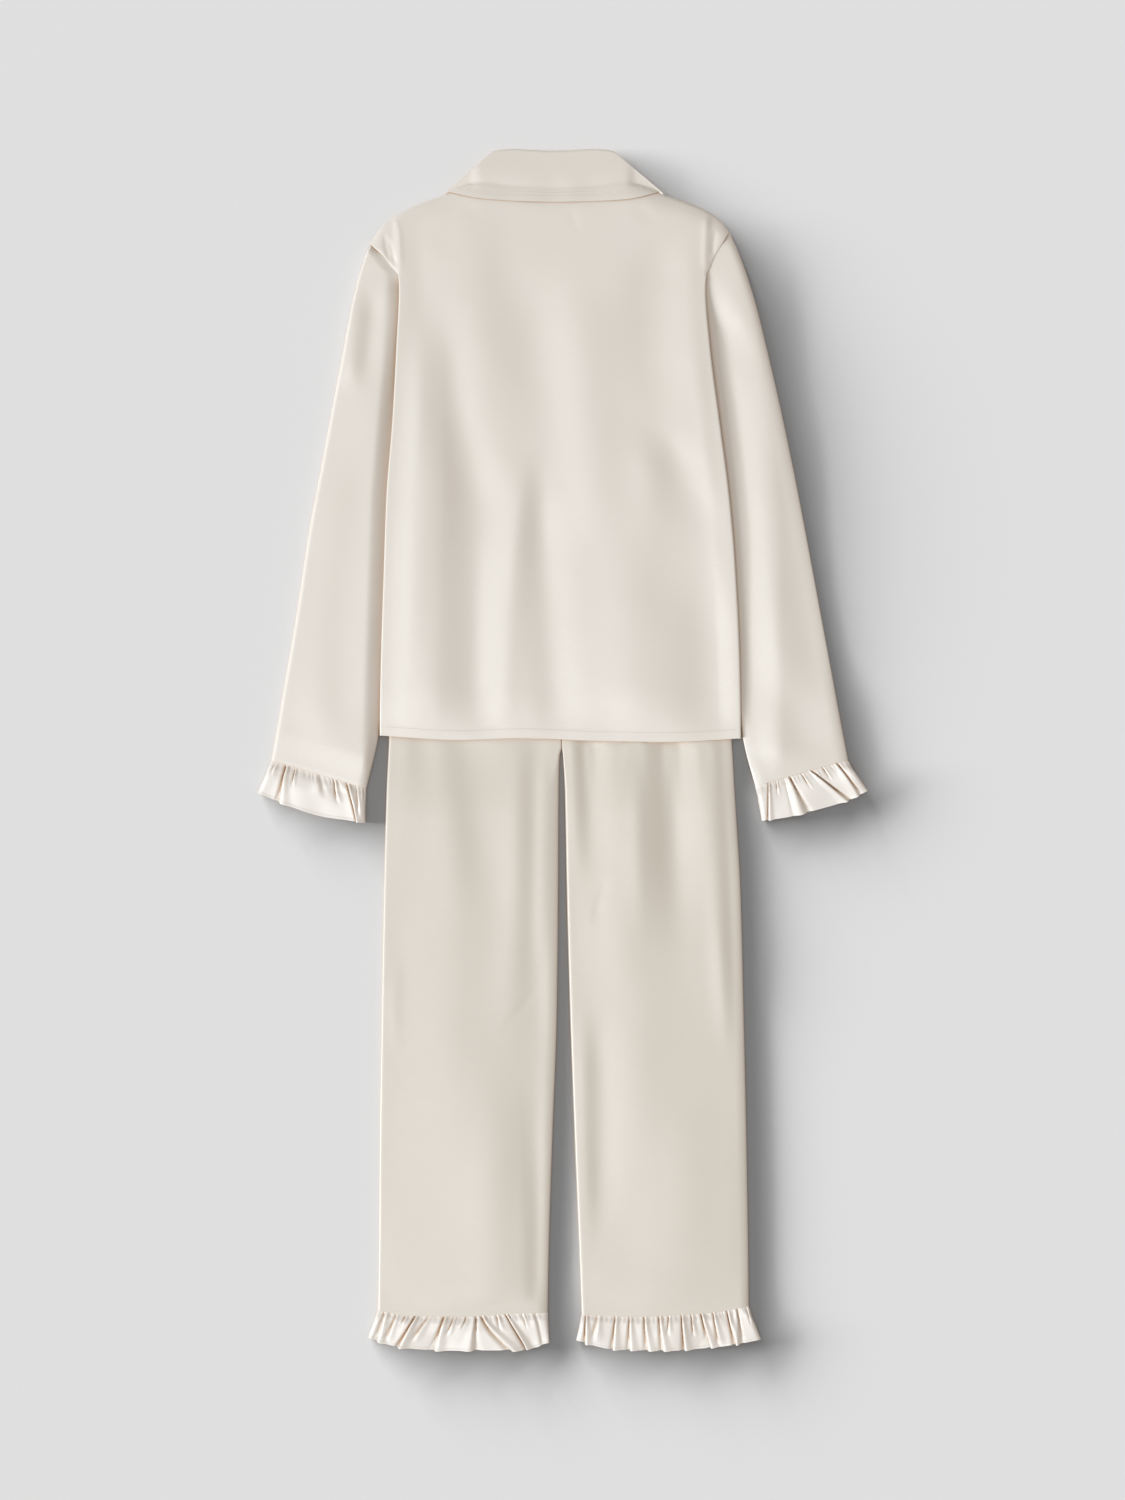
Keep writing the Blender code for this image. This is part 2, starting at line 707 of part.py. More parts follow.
def main():
    """Cuts and lays out every piece."""
    satin = plain_material("ivory_satin", (0.80, 0.75, 0.68), 0.38)
    shell = plain_material("ivory_button", (0.78, 0.73, 0.66), 0.25)
    cloth("back", BACK_COLUMNS + 2 * TUCK_COLUMNS, BACK_ROWS, back_place, satin)
    for side in ("left", "right"):
        cloth(f"front_{side}", FRONT_COLUMNS, FRONT_ROWS, front_place(side), satin)
        around = 2 * SLEEVE_SIDE_COLUMNS + 2 * ROLL_STEPS
        cloth(f"sleeve_{side}", around, SLEEVE_ROWS, sleeve_place(side), satin, ring=True)
        cloth(f"leg_front_{side}", LEG_COLUMNS, LEG_ROWS, leg_front_place(side), satin)
        cloth(f"leg_back_{side}", LEG_COLUMNS, LEG_ROWS, leg_back_place(side), satin)
    cloth("collar", COLLAR_COLUMNS, COLLAR_ROWS, collar_place, satin)
    cloth("waistband", 2 * SLEEVE_SIDE_COLUMNS + 2 * ROLL_STEPS, 2, waistband_place, satin, ring=True)
    for name, pleats in PLEATS.items():
        around = 2 * pleats.count * POINTS_PER_PLEAT + 2 * ROLL_STEPS
        cloth(name, around, RUFFLE_ROWS, ruffle_place(name), satin, ring=True)
    for index in range(BUTTONS):
        add_button(index, shell)


for old in list(bpy.data.objects):
    bpy.data.objects.remove(old, do_unlink=True)
GARMENT = bpy.data.collections.new("pyjama_set")
bpy.context.scene.collection.children.link(GARMENT)
main()
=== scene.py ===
"""Looks of the ivory satin pyjama set: a long-sleeved shirt laid face down over its trousers.

Lengths in the tables are millimetres in the frame's own axes: +Y towards the collar, -X to the left,
and the cloth rests on z = 0. Meshes are built in millimetres and made metres when they are laid.
"""

import json
import logging
import math
from dataclasses import dataclass
from enum import Enum
from typing import Callable, Sequence

import bpy
import numpy as np
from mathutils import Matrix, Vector

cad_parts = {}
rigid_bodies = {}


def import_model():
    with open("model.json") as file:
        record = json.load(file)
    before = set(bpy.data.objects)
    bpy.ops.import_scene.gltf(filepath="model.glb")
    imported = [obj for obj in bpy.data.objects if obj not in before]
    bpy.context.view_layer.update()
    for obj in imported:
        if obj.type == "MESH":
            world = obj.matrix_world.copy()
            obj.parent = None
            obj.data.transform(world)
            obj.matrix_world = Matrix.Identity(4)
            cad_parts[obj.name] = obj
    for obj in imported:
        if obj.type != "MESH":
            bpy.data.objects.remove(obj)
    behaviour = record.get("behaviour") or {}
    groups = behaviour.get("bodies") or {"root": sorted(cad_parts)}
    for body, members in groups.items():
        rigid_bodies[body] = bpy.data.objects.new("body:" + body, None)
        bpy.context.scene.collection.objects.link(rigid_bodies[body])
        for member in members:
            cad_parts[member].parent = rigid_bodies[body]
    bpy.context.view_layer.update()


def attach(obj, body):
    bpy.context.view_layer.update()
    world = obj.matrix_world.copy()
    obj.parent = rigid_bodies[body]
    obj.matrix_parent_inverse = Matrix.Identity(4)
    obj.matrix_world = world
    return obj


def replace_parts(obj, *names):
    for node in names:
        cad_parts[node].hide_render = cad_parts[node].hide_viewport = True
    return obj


MM = 0.001
CLOTH_SHARP = 70.0
BUTTON_SHARP = 50.0
WAVES = 9
# half width of the dent that a row of stitches pulls into the cloth
GROOVE_HALF = 0.8
LOG = logging.getLogger("pyjama_set")
Array = np.ndarray


# ---- small tools ----


def linear(code: str) -> tuple[float, float, float, float]:
    """Turns an sRGB hex colour into linear light.

    Args:
        code: colour as "#RRGGBB".

    Returns:
        Linear red, green, blue and an alpha of 1.
    """
    shares = [int(code[i : i + 2], 16) / 255 for i in (1, 3, 5)]
    light = [s / 12.92 if s <= 0.04045 else ((s + 0.055) / 1.055) ** 2.4 for s in shares]
    return (*light, 1.0)


def ramp(low: float, high: float, value: Array) -> Array:
    """Rises smoothly from 0 at low to 1 at high.

    Args:
        low: where the rise starts.
        high: where it ends.
        value: places to read it at.

    Returns:
        Share from 0 to 1 at each place.
    """
    t = np.clip((np.asarray(value, float) - low) / (high - low), 0.0, 1.0)
    return t * t * (3.0 - 2.0 * t)


def mix(start: Array, end: Array, share: Array) -> Array:
    """Gives what lies a share of the way from start to end."""
    return start + (end - start) * share


def rounded(distance: Array, radius: Array) -> Array:
    """Quarter-ellipse rise from a fold: 0 at the edge, 1 from radius inwards.

    Args:
        distance: distance from the edge.
        radius: how far in the rise reaches.

    Returns:
        Share of the full height.
    """
    near = 1.0 - np.clip(distance / radius, 0.0, 1.0)
    return np.sqrt(np.clip(1.0 - near * near, 0.0, 1.0))


class Curve:
    """Smooth curve through a table of values that never overshoots them."""

    def __init__(self, keys: Sequence[float], values: Sequence[float]) -> None:
        """Takes the table.

        Args:
            keys: rising places along the curve.
            values: value at each place.
        """
        self.keys = np.asarray(keys, float)
        self.values = np.asarray(values, float)
        self.steps = np.diff(self.keys)
        slopes = np.diff(self.values) / self.steps
        before, after = slopes[:-1], slopes[1:]
        same_way = before * after > 0
        safe = np.where(same_way, before + after, 1.0)
        inner = np.where(same_way, 2 * before * after / safe, 0.0)
        self.tangents = np.concatenate([slopes[:1], inner, slopes[-1:]])

    def __call__(self, at: Array) -> Array:
        """Reads the curve.

        Args:
            at: places to read it at.

        Returns:
            Value at each place, held level past the table's ends.
        """
        at = np.clip(np.asarray(at, float), self.keys[0], self.keys[-1])
        i = np.clip(np.searchsorted(self.keys, at, side="right") - 1, 0, len(self.steps) - 1)
        step = self.steps[i]
        t = (at - self.keys[i]) / step
        start = (1 + 2 * t) * (1 - t) ** 2 * self.values[i] + t * (1 - t) ** 2 * step * self.tangents[i]
        end = t * t * (3 - 2 * t) * self.values[i + 1] - t * t * (1 - t) * step * self.tangents[i + 1]
        return start + end


def table_curves(rows: Sequence[Sequence[float]]) -> list[Curve]:
    """Makes one curve for each column of a table after its first, which holds the keys."""
    columns = list(zip(*sorted(rows)))
    return [Curve(columns[0], column) for column in columns[1:]]


def path_curves(rows: Sequence[Sequence[float]]) -> list[Curve]:
    """Makes one curve for each column, read by a share from 0 to 1 along the rows."""
    keys = np.linspace(0.0, 1.0, len(rows))
    return [Curve(keys, column) for column in zip(*rows)]


def slow_waves(x: Array, y: Array, seed: int, short: float, long: float, upright: float) -> Array:
    """Low uneven waves, the same on each run.

    Args:
        x: places across.
        y: places along.
        seed: picks the pattern.
        short: shortest wavelength.
        long: longest wavelength.
        upright: how much longer the waves are along Y than along X.

    Returns:
        Height between about -1 and 1.
    """
    draw = np.random.RandomState(seed)
    total = np.zeros(np.broadcast(x, y).shape)
    for _ in range(WAVES):
        length = short * (long / short) ** draw.rand()
        turn = (draw.rand() - 0.5) * math.pi
        kx = math.cos(turn) / length
        ky = math.sin(turn) / (length * upright)
        total = total + np.sin(2 * math.pi * (kx * x + ky * y + draw.rand()))
    return total / math.sqrt(WAVES)


# ---- folds listed one by one ----


class Form(Enum):
    """Which way a soft fold bends the cloth."""

    RIDGE = 1
    TROUGH = -1
    FALL = -2
    RISE = 2


@dataclass(frozen=True)
class Fold:
    """A soft fold along a line.

    A fall drops towards +X across its line, and a rise climbs towards +X. With lying set, the line
    runs along X instead, and the fold is read across Y.
    """

    form: Form
    path: tuple[tuple[float, float, float], ...]
    height: float
    fade_in: float = 60.0
    fade_out: float = 60.0
    skew: float = 0.0
    lying: bool = False

    def lift(self, x: Array, y: Array) -> Array:
        """Height that this fold adds.

        Args:
            x: places across.
            y: places along.

        Returns:
            Height at each place.
        """
        along, across = (x, y) if self.lying else (y, x)
        rows = sorted(row if self.lying else (row[1], row[0], row[2]) for row in self.path)
        centre, width = table_curves(rows)
        low, high = rows[0][0], rows[-1][0]
        off = across - centre(along)
        reach = width(along) * (1.0 + self.skew * np.sign(off))
        q = off / reach
        fade_low, fade_high = (self.fade_in, self.fade_out) if self.lying else (self.fade_out, self.fade_in)
        held = ramp(low - fade_low * 0.3, low + fade_low, along) * (
            1.0 - ramp(high - fade_high, high + fade_high * 0.3, along)
        )
        sign = math.copysign(1.0, self.form.value)
        if self.form in (Form.RIDGE, Form.TROUGH):
            return sign * self.height * held * np.exp(-q * q)
        return sign * self.height * held * q * np.exp((1.0 - q * q) / 2)


def folded(folds: Sequence[Fold], x: Array, y: Array) -> Array:
    """Adds up the heights of several folds."""
    return sum((fold.lift(x, y) for fold in folds), np.zeros(np.broadcast(x, y).shape))


# ---- finishes ----


def feed(node: bpy.types.Node, inputs: dict) -> None:
    """Sets a node's inputs.

    Args:
        node: the node.
        inputs: value, or socket that feeds it, for each input by name or place.
    """
    for name, value in inputs.items():
        if isinstance(value, bpy.types.NodeSocket):
            node.id_data.links.new(value, node.inputs[name])
        else:
            node.inputs[name].default_value = value


def add_node(tree: bpy.types.NodeTree, kind: str, inputs: dict, **settings: object) -> bpy.types.Node:
    """Adds a node with its settings and links.

    Args:
        tree: node tree that takes it.
        kind: node type, without its "ShaderNode".
        inputs: value, or socket that feeds it, for each input by name or place.
        **settings: properties of the node.

    Returns:
        The node.
    """
    node = tree.nodes.new(f"ShaderNode{kind}")
    for name, value in settings.items():
        setattr(node, name, value)
    feed(node, inputs)
    return node


def principled(name: str) -> tuple[bpy.types.Material, bpy.types.NodeTree, bpy.types.Node]:
    """Starts a material.

    Args:
        name: the material's name.

    Returns:
        The material, its node tree and its Principled shader.
    """
    material = bpy.data.materials.new(name)
    material.use_nodes = True
    return material, material.node_tree, material.node_tree.nodes["Principled BSDF"]


@dataclass(frozen=True)
class PolyesterSatin:
    """Polyester charmeuse satin, woven with long floats and calendered.

    The floats give the eye a pearly sheen that changes with the slope of the cloth, and faint
    streaks across the piece where the weft threads differ in thickness.
    """

    name: str = "woven_polyester_satin_ivory"
    face: str = "#EAE5DB"
    thread_shade: str = "#E7E1D6"
    # Painted shade: the tan that folds and gaps are painted towards, and how far ambient occlusion looks for
    # them.
    painted_shade_tan: str = "#C49D72"
    painted_shade_reach: float = 20.0
    roughness: float = 0.34
    # Weft threads lie 0.12 mm apart. Drawn as slubs 0.9 mm apart and 14 mm long, so that they show.
    slub_pitch: float = 0.9
    slub_length: float = 14.0
    slub_height: float = 0.0025
    # Dyeing leaves clouds about 90 mm across.
    cloud: float = 90.0

    def build(self) -> bpy.types.Material:
        """Makes the material.

        Returns:
            Material whose streaks follow the cloth's own cut.
        """
        material, tree, shader = principled(self.name)
        cut = add_node(tree, "UVMap", {}, uv_map="cut").outputs["UV"]
        scale = (1.0 / (self.slub_length * MM), 1.0 / (self.slub_pitch * MM), 1.0)
        stretched = add_node(tree, "Mapping", {"Vector": cut, "Scale": scale}).outputs["Vector"]
        noise = {"Vector": stretched, "Scale": 1.0, "Detail": 3.0, "Roughness": 0.55}
        slubs = add_node(tree, "TexNoise", noise).outputs["Fac"]
        noise = {"Vector": cut, "Scale": 1.0 / (self.cloud * MM), "Detail": 2.0}
        clouds = add_node(tree, "TexNoise", noise).outputs["Fac"]
        both = add_node(tree, "Math", {0: slubs, 1: clouds}, operation="ADD").outputs[0]
        tint = add_node(tree, "MapRange", {"Value": both, "From Min": 0.7, "From Max": 1.3}).outputs[0]
        shades = {"Factor": tint, "A": linear(self.face), "B": linear(self.thread_shade)}
        colour = add_node(tree, "Mix", shades, data_type="RGBA").outputs["Result"]
        # Painted shade: ambient occlusion mixes a tan into the colour in folds and in gaps between pieces,
        # standing in for light that bounces inside tight folds.
        reach = {"Distance": self.painted_shade_reach * MM}
        open_sky = add_node(tree, "AmbientOcclusion", reach, samples=8).outputs["AO"]
        depth = add_node(tree, "MapRange", {"Value": open_sky, "From Min": 0.2, "From Max": 0.9}).outputs[0]
        shades = {"Factor": depth, "A": linear(self.painted_shade_tan), "B": colour}
        colour_with_painted_shade = add_node(tree, "Mix", shades, data_type="RGBA").outputs["Result"]
        feed(shader, {"Base Color": colour_with_painted_shade})
        spread_of_gloss = {"To Min": self.roughness - 0.04, "To Max": self.roughness + 0.05}
        gloss = {"Value": slubs, "From Min": 0.3, "From Max": 0.7, **spread_of_gloss}
        feed(shader, {"Roughness": add_node(tree, "MapRange", gloss).outputs[0]})
        relief = {"Height": slubs, "Strength": 0.35, "Distance": self.slub_height * MM}
        feed(shader, {"Normal": add_node(tree, "Bump", relief).outputs["Normal"]})
        feed(shader, {"IOR": 1.6, "Specular IOR Level": 0.8})
        feed(shader, {"Sheen Weight": 0.12, "Sheen Roughness": 0.4, "Sheen Tint": linear("#FFF6EA")})
        return material


@dataclass(frozen=True)
class SewingThread:
    """Spun polyester sewing thread: matt beside the satin, with the twist of its plies."""

    name: str = "spun_polyester_thread_ivory"
    colour: str = "#EFEAE0"
    ply: str = "#E4DCCF"
    # Plies turn every 0.5 mm along a thread. Drawn about 6 mm apart, so that stitches differ in shade.
    twist: float = 0.5

    def build(self) -> bpy.types.Material:
        """Makes the material.

        Returns:
            Material with fine slanting plies.
        """
        material, tree, shader = principled(self.name)
        place = add_node(tree, "TexCoord", {}).outputs["Object"]
        # Slanting bands repeat every 0.63 / scale, so that this draws them 12.6 times coarser.
        wave = {"Vector": place, "Scale": 1.0 / (self.twist * MM) / 20, "Distortion": 0.6}
        plies = add_node(tree, "TexWave", wave, bands_direction="DIAGONAL").outputs["Fac"]
        shades = {"Factor": plies, "A": linear(self.colour), "B": linear(self.ply)}
        feed(shader, {"Base Color": add_node(tree, "Mix", shades, data_type="RGBA").outputs["Result"]})
        feed(shader, {"Roughness": 0.62})
        return material


@dataclass(frozen=True)
class ShirtButtonResin:
    """Cast polyester resin, turned and polished: pearly streaks under a clear gloss."""

    name: str = "cast_polyester_resin_pearl"
    pearl: str = "#EFE7DB"
    streak: str = "#DDD0BF"
    # Streaks lie about 4 mm apart, as the resin was stirred.
    streak_pitch: float = 4.0

    def build(self) -> bpy.types.Material:
        """Makes the material.

        Returns:
            Material with soft pearl streaks.
        """
        material, tree, shader = principled(self.name)
        place = add_node(tree, "TexCoord", {}).outputs["Object"]
        scale = 1.0 / (self.streak_pitch * MM)
        noise = {"Vector": place, "Scale": scale, "Detail": 2.0, "Distortion": 1.5}
        streaks = add_node(tree, "TexNoise", noise).outputs["Fac"]
        shades = {"Factor": streaks, "A": linear(self.pearl), "B": linear(self.streak)}
        feed(shader, {"Base Color": add_node(tree, "Mix", shades, data_type="RGBA").outputs["Result"]})
        feed(shader, {"Roughness": 0.22, "IOR": 1.56, "Coat Weight": 0.3})
        return material


@dataclass(frozen=True)
class PaperFloor:
    """Matt coated background paper: an even pale grey with hardly any grain."""

    name: str = "coated_background_paper"
    colour: str = "#D1D1D1"
    # Paper fibres clump about 2 mm apart.
    grain: float = 2.0
    grain_height: float = 0.1

    def build(self) -> bpy.types.Material:
        """Makes the material.

        Returns:
            Material with a trace of paper grain.
        """
        material, tree, shader = principled(self.name)
        place = add_node(tree, "TexCoord", {}).outputs["Object"]
        noise = {"Vector": place, "Scale": 1.0 / (self.grain * MM), "Detail": 2.0}
        grain = add_node(tree, "TexNoise", noise).outputs["Fac"]
        relief = {"Height": grain, "Strength": 0.05, "Distance": self.grain_height * MM}
        feed(shader, {"Normal": add_node(tree, "Bump", relief).outputs["Normal"]})
        feed(shader, {"Base Color": linear(self.colour), "Roughness": 0.95, "Specular IOR Level": 0.1})
        return material


# ---- cloth building ----


class Held(Enum):
    """How a piece of cloth is kept in its shape."""

    LAID = "laid"
    FOLDED = "folded"
    GATHERED = "gathered"


@dataclass(frozen=True)
class Cut:
    """A cut piece of cloth: its name, what it stands for, and its flat size in metres."""

    name: str
    stands_for: tuple[str, ...]
    flat: tuple[float, float]
    held: Held
    rests_on: tuple[str, ...] = ()
    area: float | None = None


def grid_normals(grid: Array, ring: bool) -> Array:
    """Outward normals of a grid of points.

    Args:
        grid: rows x columns x 3 points.
        ring: whether the last column meets the first.

    Returns:
        Unit normals, the highest point's facing up.
    """
    across = np.roll(grid, -1, 1) - np.roll(grid, 1, 1) if ring else np.gradient(grid, axis=1)
    normals = np.cross(across, np.gradient(grid, axis=0))
    normals /= np.maximum(np.linalg.norm(normals, axis=2, keepdims=True), 1e-9)
    top = np.unravel_index(np.argmax(grid[..., 2]), grid.shape[:2])
    return normals if normals[top][2] > 0 else -normals


def shell_faces(outer: Array, inner: Array, ring: bool) -> Array:
    """Faces of a thin closed shell.

    Args:
        outer: index of each outer point, by row and column.
        inner: index of each inner point.
        ring: whether the columns close round, so that they have no rim.

    Returns:
        Four indices for each face.
    """

    def quads(*corners: Array) -> Array:
        """Stacks the corners of faces."""
        return np.stack(corners, -1).reshape(-1, 4)

    faces = [
        quads(outer[:-1, :-1], outer[:-1, 1:], outer[1:, 1:], outer[1:, :-1]),
        quads(inner[:-1, :-1], inner[1:, :-1], inner[1:, 1:], inner[:-1, 1:]),
        quads(outer[0, 1:], outer[0, :-1], inner[0, :-1], inner[0, 1:]),
        quads(outer[-1, :-1], outer[-1, 1:], inner[-1, 1:], inner[-1, :-1]),
    ]
    if not ring:
        faces.append(quads(outer[:-1, 0], outer[1:, 0], inner[1:, 0], inner[:-1, 0]))
        faces.append(quads(outer[1:, -1], outer[:-1, -1], inner[:-1, -1], inner[1:, -1]))
    return np.concatenate(faces)


def arc_lengths(grid: Array, axis: int) -> Array:
    """Mean length along a grid's rows or columns, from its first."""
    steps = np.linalg.norm(np.diff(grid, axis=axis), axis=2).mean(axis=1 - axis)
    return np.concatenate([[0.0], np.cumsum(steps)])


def in_scene(mesh: bpy.types.Mesh) -> bpy.types.Object:
    """Puts a mesh in the scene.

    Args:
        mesh: the mesh.

    Returns:
        Object of the same name.
    """
    obj = bpy.data.objects.new(mesh.name, mesh)
    bpy.context.scene.collection.objects.link(obj)
    return obj


def cloth_shell(name: str, grid: Array, wall: Array | float, ring: bool) -> bpy.types.Object:
    """Makes a thin closed cloth shell about a grid of points.

    Args:
        name: the object's name.
        grid: rows x columns x 3 points in millimetres, in the middle of the cloth.
        wall: thickness in millimetres, one number or one for each point.
        ring: whether the last column meets the first.

    Returns:
        The object, with its cut laid out in metres in the UV map "cut".
    """
    rows, columns = grid.shape[:2]
    normals = grid_normals(grid, ring)
    half = np.broadcast_to(np.asarray(wall, float), (rows, columns))[..., None] / 2
    points = np.concatenate([grid + normals * half, grid - normals * half]).reshape(-1, 3)
    index = np.arange(rows * columns).reshape(rows, columns)
    cut_columns = columns + 1 if ring else columns
    if ring:
        index = np.hstack([index, index[:, :1]])
    cut_index = np.arange(rows * cut_columns).reshape(rows, cut_columns)
    faces = shell_faces(index, index + rows * columns, ring)
    cut_faces = shell_faces(cut_index, cut_index, ring)
    whole = np.concatenate([grid, grid[:, :1]], 1) if ring else grid
    cut = np.stack(np.meshgrid(arc_lengths(whole, 1), arc_lengths(whole, 0)), -1).reshape(-1, 2) * MM
    across = np.roll(grid, -1, 1) - grid if ring else np.gradient(grid, axis=1)
    turned = (np.cross(across, np.gradient(grid, axis=0)) * normals).sum() < 0
    if turned:
        faces, cut_faces = faces[:, ::-1], cut_faces[:, ::-1]
    mesh = bpy.data.meshes.new(name)
    mesh.from_pydata((points * MM).tolist(), [], faces.tolist())
    layer = mesh.uv_layers.new(name="cut")
    layer.data.foreach_set("uv", cut[cut_faces.reshape(-1)].reshape(-1))
    mesh.shade_smooth()
    mesh.set_sharp_from_angle(angle=math.radians(CLOTH_SHARP))
    mesh.validate()
    return in_scene(mesh)


def dress(obj: bpy.types.Object, material: bpy.types.Material) -> bpy.types.Object:
    """Gives a piece its material and makes it part of the garment.

    Args:
        obj: the piece.
        material: its finish.

    Returns:
        The piece.
    """
    obj.data.materials.append(material)
    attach(obj, "root")
    return obj


def lay(
    cut: Cut, grid: Array, satin: bpy.types.Material, wall: Array | float, ring: bool = False
) -> None:
    """Args:
        cut: what the piece is.
        grid: its points in millimetres.
        satin: its material.
        wall: its thickness.
        ring: whether it closes round.
    """
    obj = dress(cloth_shell(cut.name, grid, wall, ring), satin)
    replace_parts(obj, *cut.stands_for)
    LOG.info("%s: %d points, %s", cut.name, len(obj.data.vertices), cut.held.value)


def spread(length: float, pitch: float, dense: Sequence[tuple[float, float, float]] = ()) -> Array:
    """Places from 0 to length, closer together over some stretches.

    Args:
        length: whole length.
        pitch: usual distance between places.
        dense: stretches as start, end and their own pitch.

    Returns:
        Rising shares of the length, from 0 to 1.
    """
    base = np.arange(0.0, length, pitch)
    for start, end, fine in dense:
        base = base[(base < start - fine * 0.5) | (base > end + fine * 0.5)]
        base = np.concatenate([base, np.arange(start, end, fine)])
    base = np.sort(base[base < length - pitch * 0.3])
    return np.concatenate([base, [length]]) / length


def fold_spread(length: float, pitch: float, radius: float, steps: int) -> Array:
    """Shares from 0 to 1 that crowd towards both ends, as a rounded fold needs.

    Args:
        length: whole length.
        pitch: usual distance between places.
        radius: how far each rounded end reaches.
        steps: places in each rounded end.

    Returns:
        Rising shares.
    """
    turn = np.linspace(0.0, math.pi / 2, steps + 1)
    end = radius * (1.0 - np.cos(turn)) / length
    middle = np.linspace(end[-1], 1.0 - end[-1], max(3, int((length - 2 * radius) / pitch)))
    return np.concatenate([end[:-1], middle, 1.0 - end[-2::-1]])


def rod_faces(rings: int, sides: int, turned: bool = False) -> list[tuple[int, ...]]:
    """Faces of a closed rod made of rings of points.

    Args:
        rings: rings along the rod.
        sides: points round each ring.
        turned: whether the rings run the other way round, as seen along the rod.

    Returns:
        Indices of each face, with the two ends last.
    """
    index = np.arange(rings * sides).reshape(rings, sides)
    low, high = index[:-1], index[1:]
    corners = [low, np.roll(low, -1, 1), np.roll(high, -1, 1), high]
    ends = [index[0, ::-1], index[-1]]
    if turned:
        corners = [corners[k] for k in (0, 3, 2, 1)]
        ends = [end[::-1] for end in ends]
    walls = np.stack(corners, -1).reshape(-1, 4)
    return [tuple(face.tolist()) for face in (*walls, *ends)]


# ---- stitching ----


@dataclass(frozen=True)
class Topstitch:
    """Lockstitch along a line, each stitch a short bowed thread sunk into the satin."""

    name: str
    pitch: float = 2.7
    length: float = 2.1
    radius: float = 0.17
    sink: float = 0.03
    sides: int = 6
    # place along the stitch and share of the full radius
    swell: tuple = ((-0.5, 0.35), (-0.32, 0.95), (0.0, 1.0), (0.32, 0.95), (0.5, 0.35))

    def sew(self, line: Array, up: Array, thread: bpy.types.Material) -> None:
        """Lays stitches along a line on the cloth.

        Args:
            line: points in millimetres on the cloth's face.
            up: direction away from the cloth at each point.
            thread: the thread's material.
        """
        lengths = np.concatenate([[0.0], np.cumsum(np.linalg.norm(np.diff(line, axis=0), axis=1))])
        places = np.arange(self.pitch / 2, lengths[-1], self.pitch)
        around = np.linspace(0.0, 2 * math.pi, self.sides, endpoint=False)
        points, faces = [], []
        for place in places:
            ends = [self.on_line(line, lengths, place + d) for d in (-0.5, 0.5)]
            along = ends[1] - ends[0]
            along /= max(np.linalg.norm(along), 1e-9)
            lift = self.on_line(up, lengths, place)
            lift -= along * (lift @ along)
            lift /= max(np.linalg.norm(lift), 1e-9)
            side = np.cross(along, lift)
            centre = self.on_line(line, lengths, place)
            first = len(points)
            for reach, swell in self.swell:
                bow = (0.25 - reach * reach) * 4 * self.radius
                middle = centre + along * reach * self.length + lift * (bow - self.sink)
                thick = self.radius * swell
                points.extend(middle + thick * (math.cos(a) * side + math.sin(a) * lift) for a in around)
            faces += [tuple(first + k for k in face) for face in rod_faces(len(self.swell), self.sides)]
        mesh = bpy.data.meshes.new(self.name)
        mesh.from_pydata((np.array(points) * MM).tolist(), [], faces)
        mesh.shade_smooth()
        dress(in_scene(mesh), thread)
        LOG.info("%s: %d stitches", self.name, len(places))

    @staticmethod
    def on_line(values: Array, lengths: Array, place: float) -> Array:
        """Reads a line's values at a length along it."""
        return np.array([np.interp(place, lengths, values[:, k]) for k in range(3)])


# ---- shirt ----


class Side(Enum):
    """A side of the garment, with the sign of its X."""

    LEFT = -1
    RIGHT = 1

    @property
    def word(self) -> str:
        """The side's name as the pieces use it."""
        return self.name.lower()


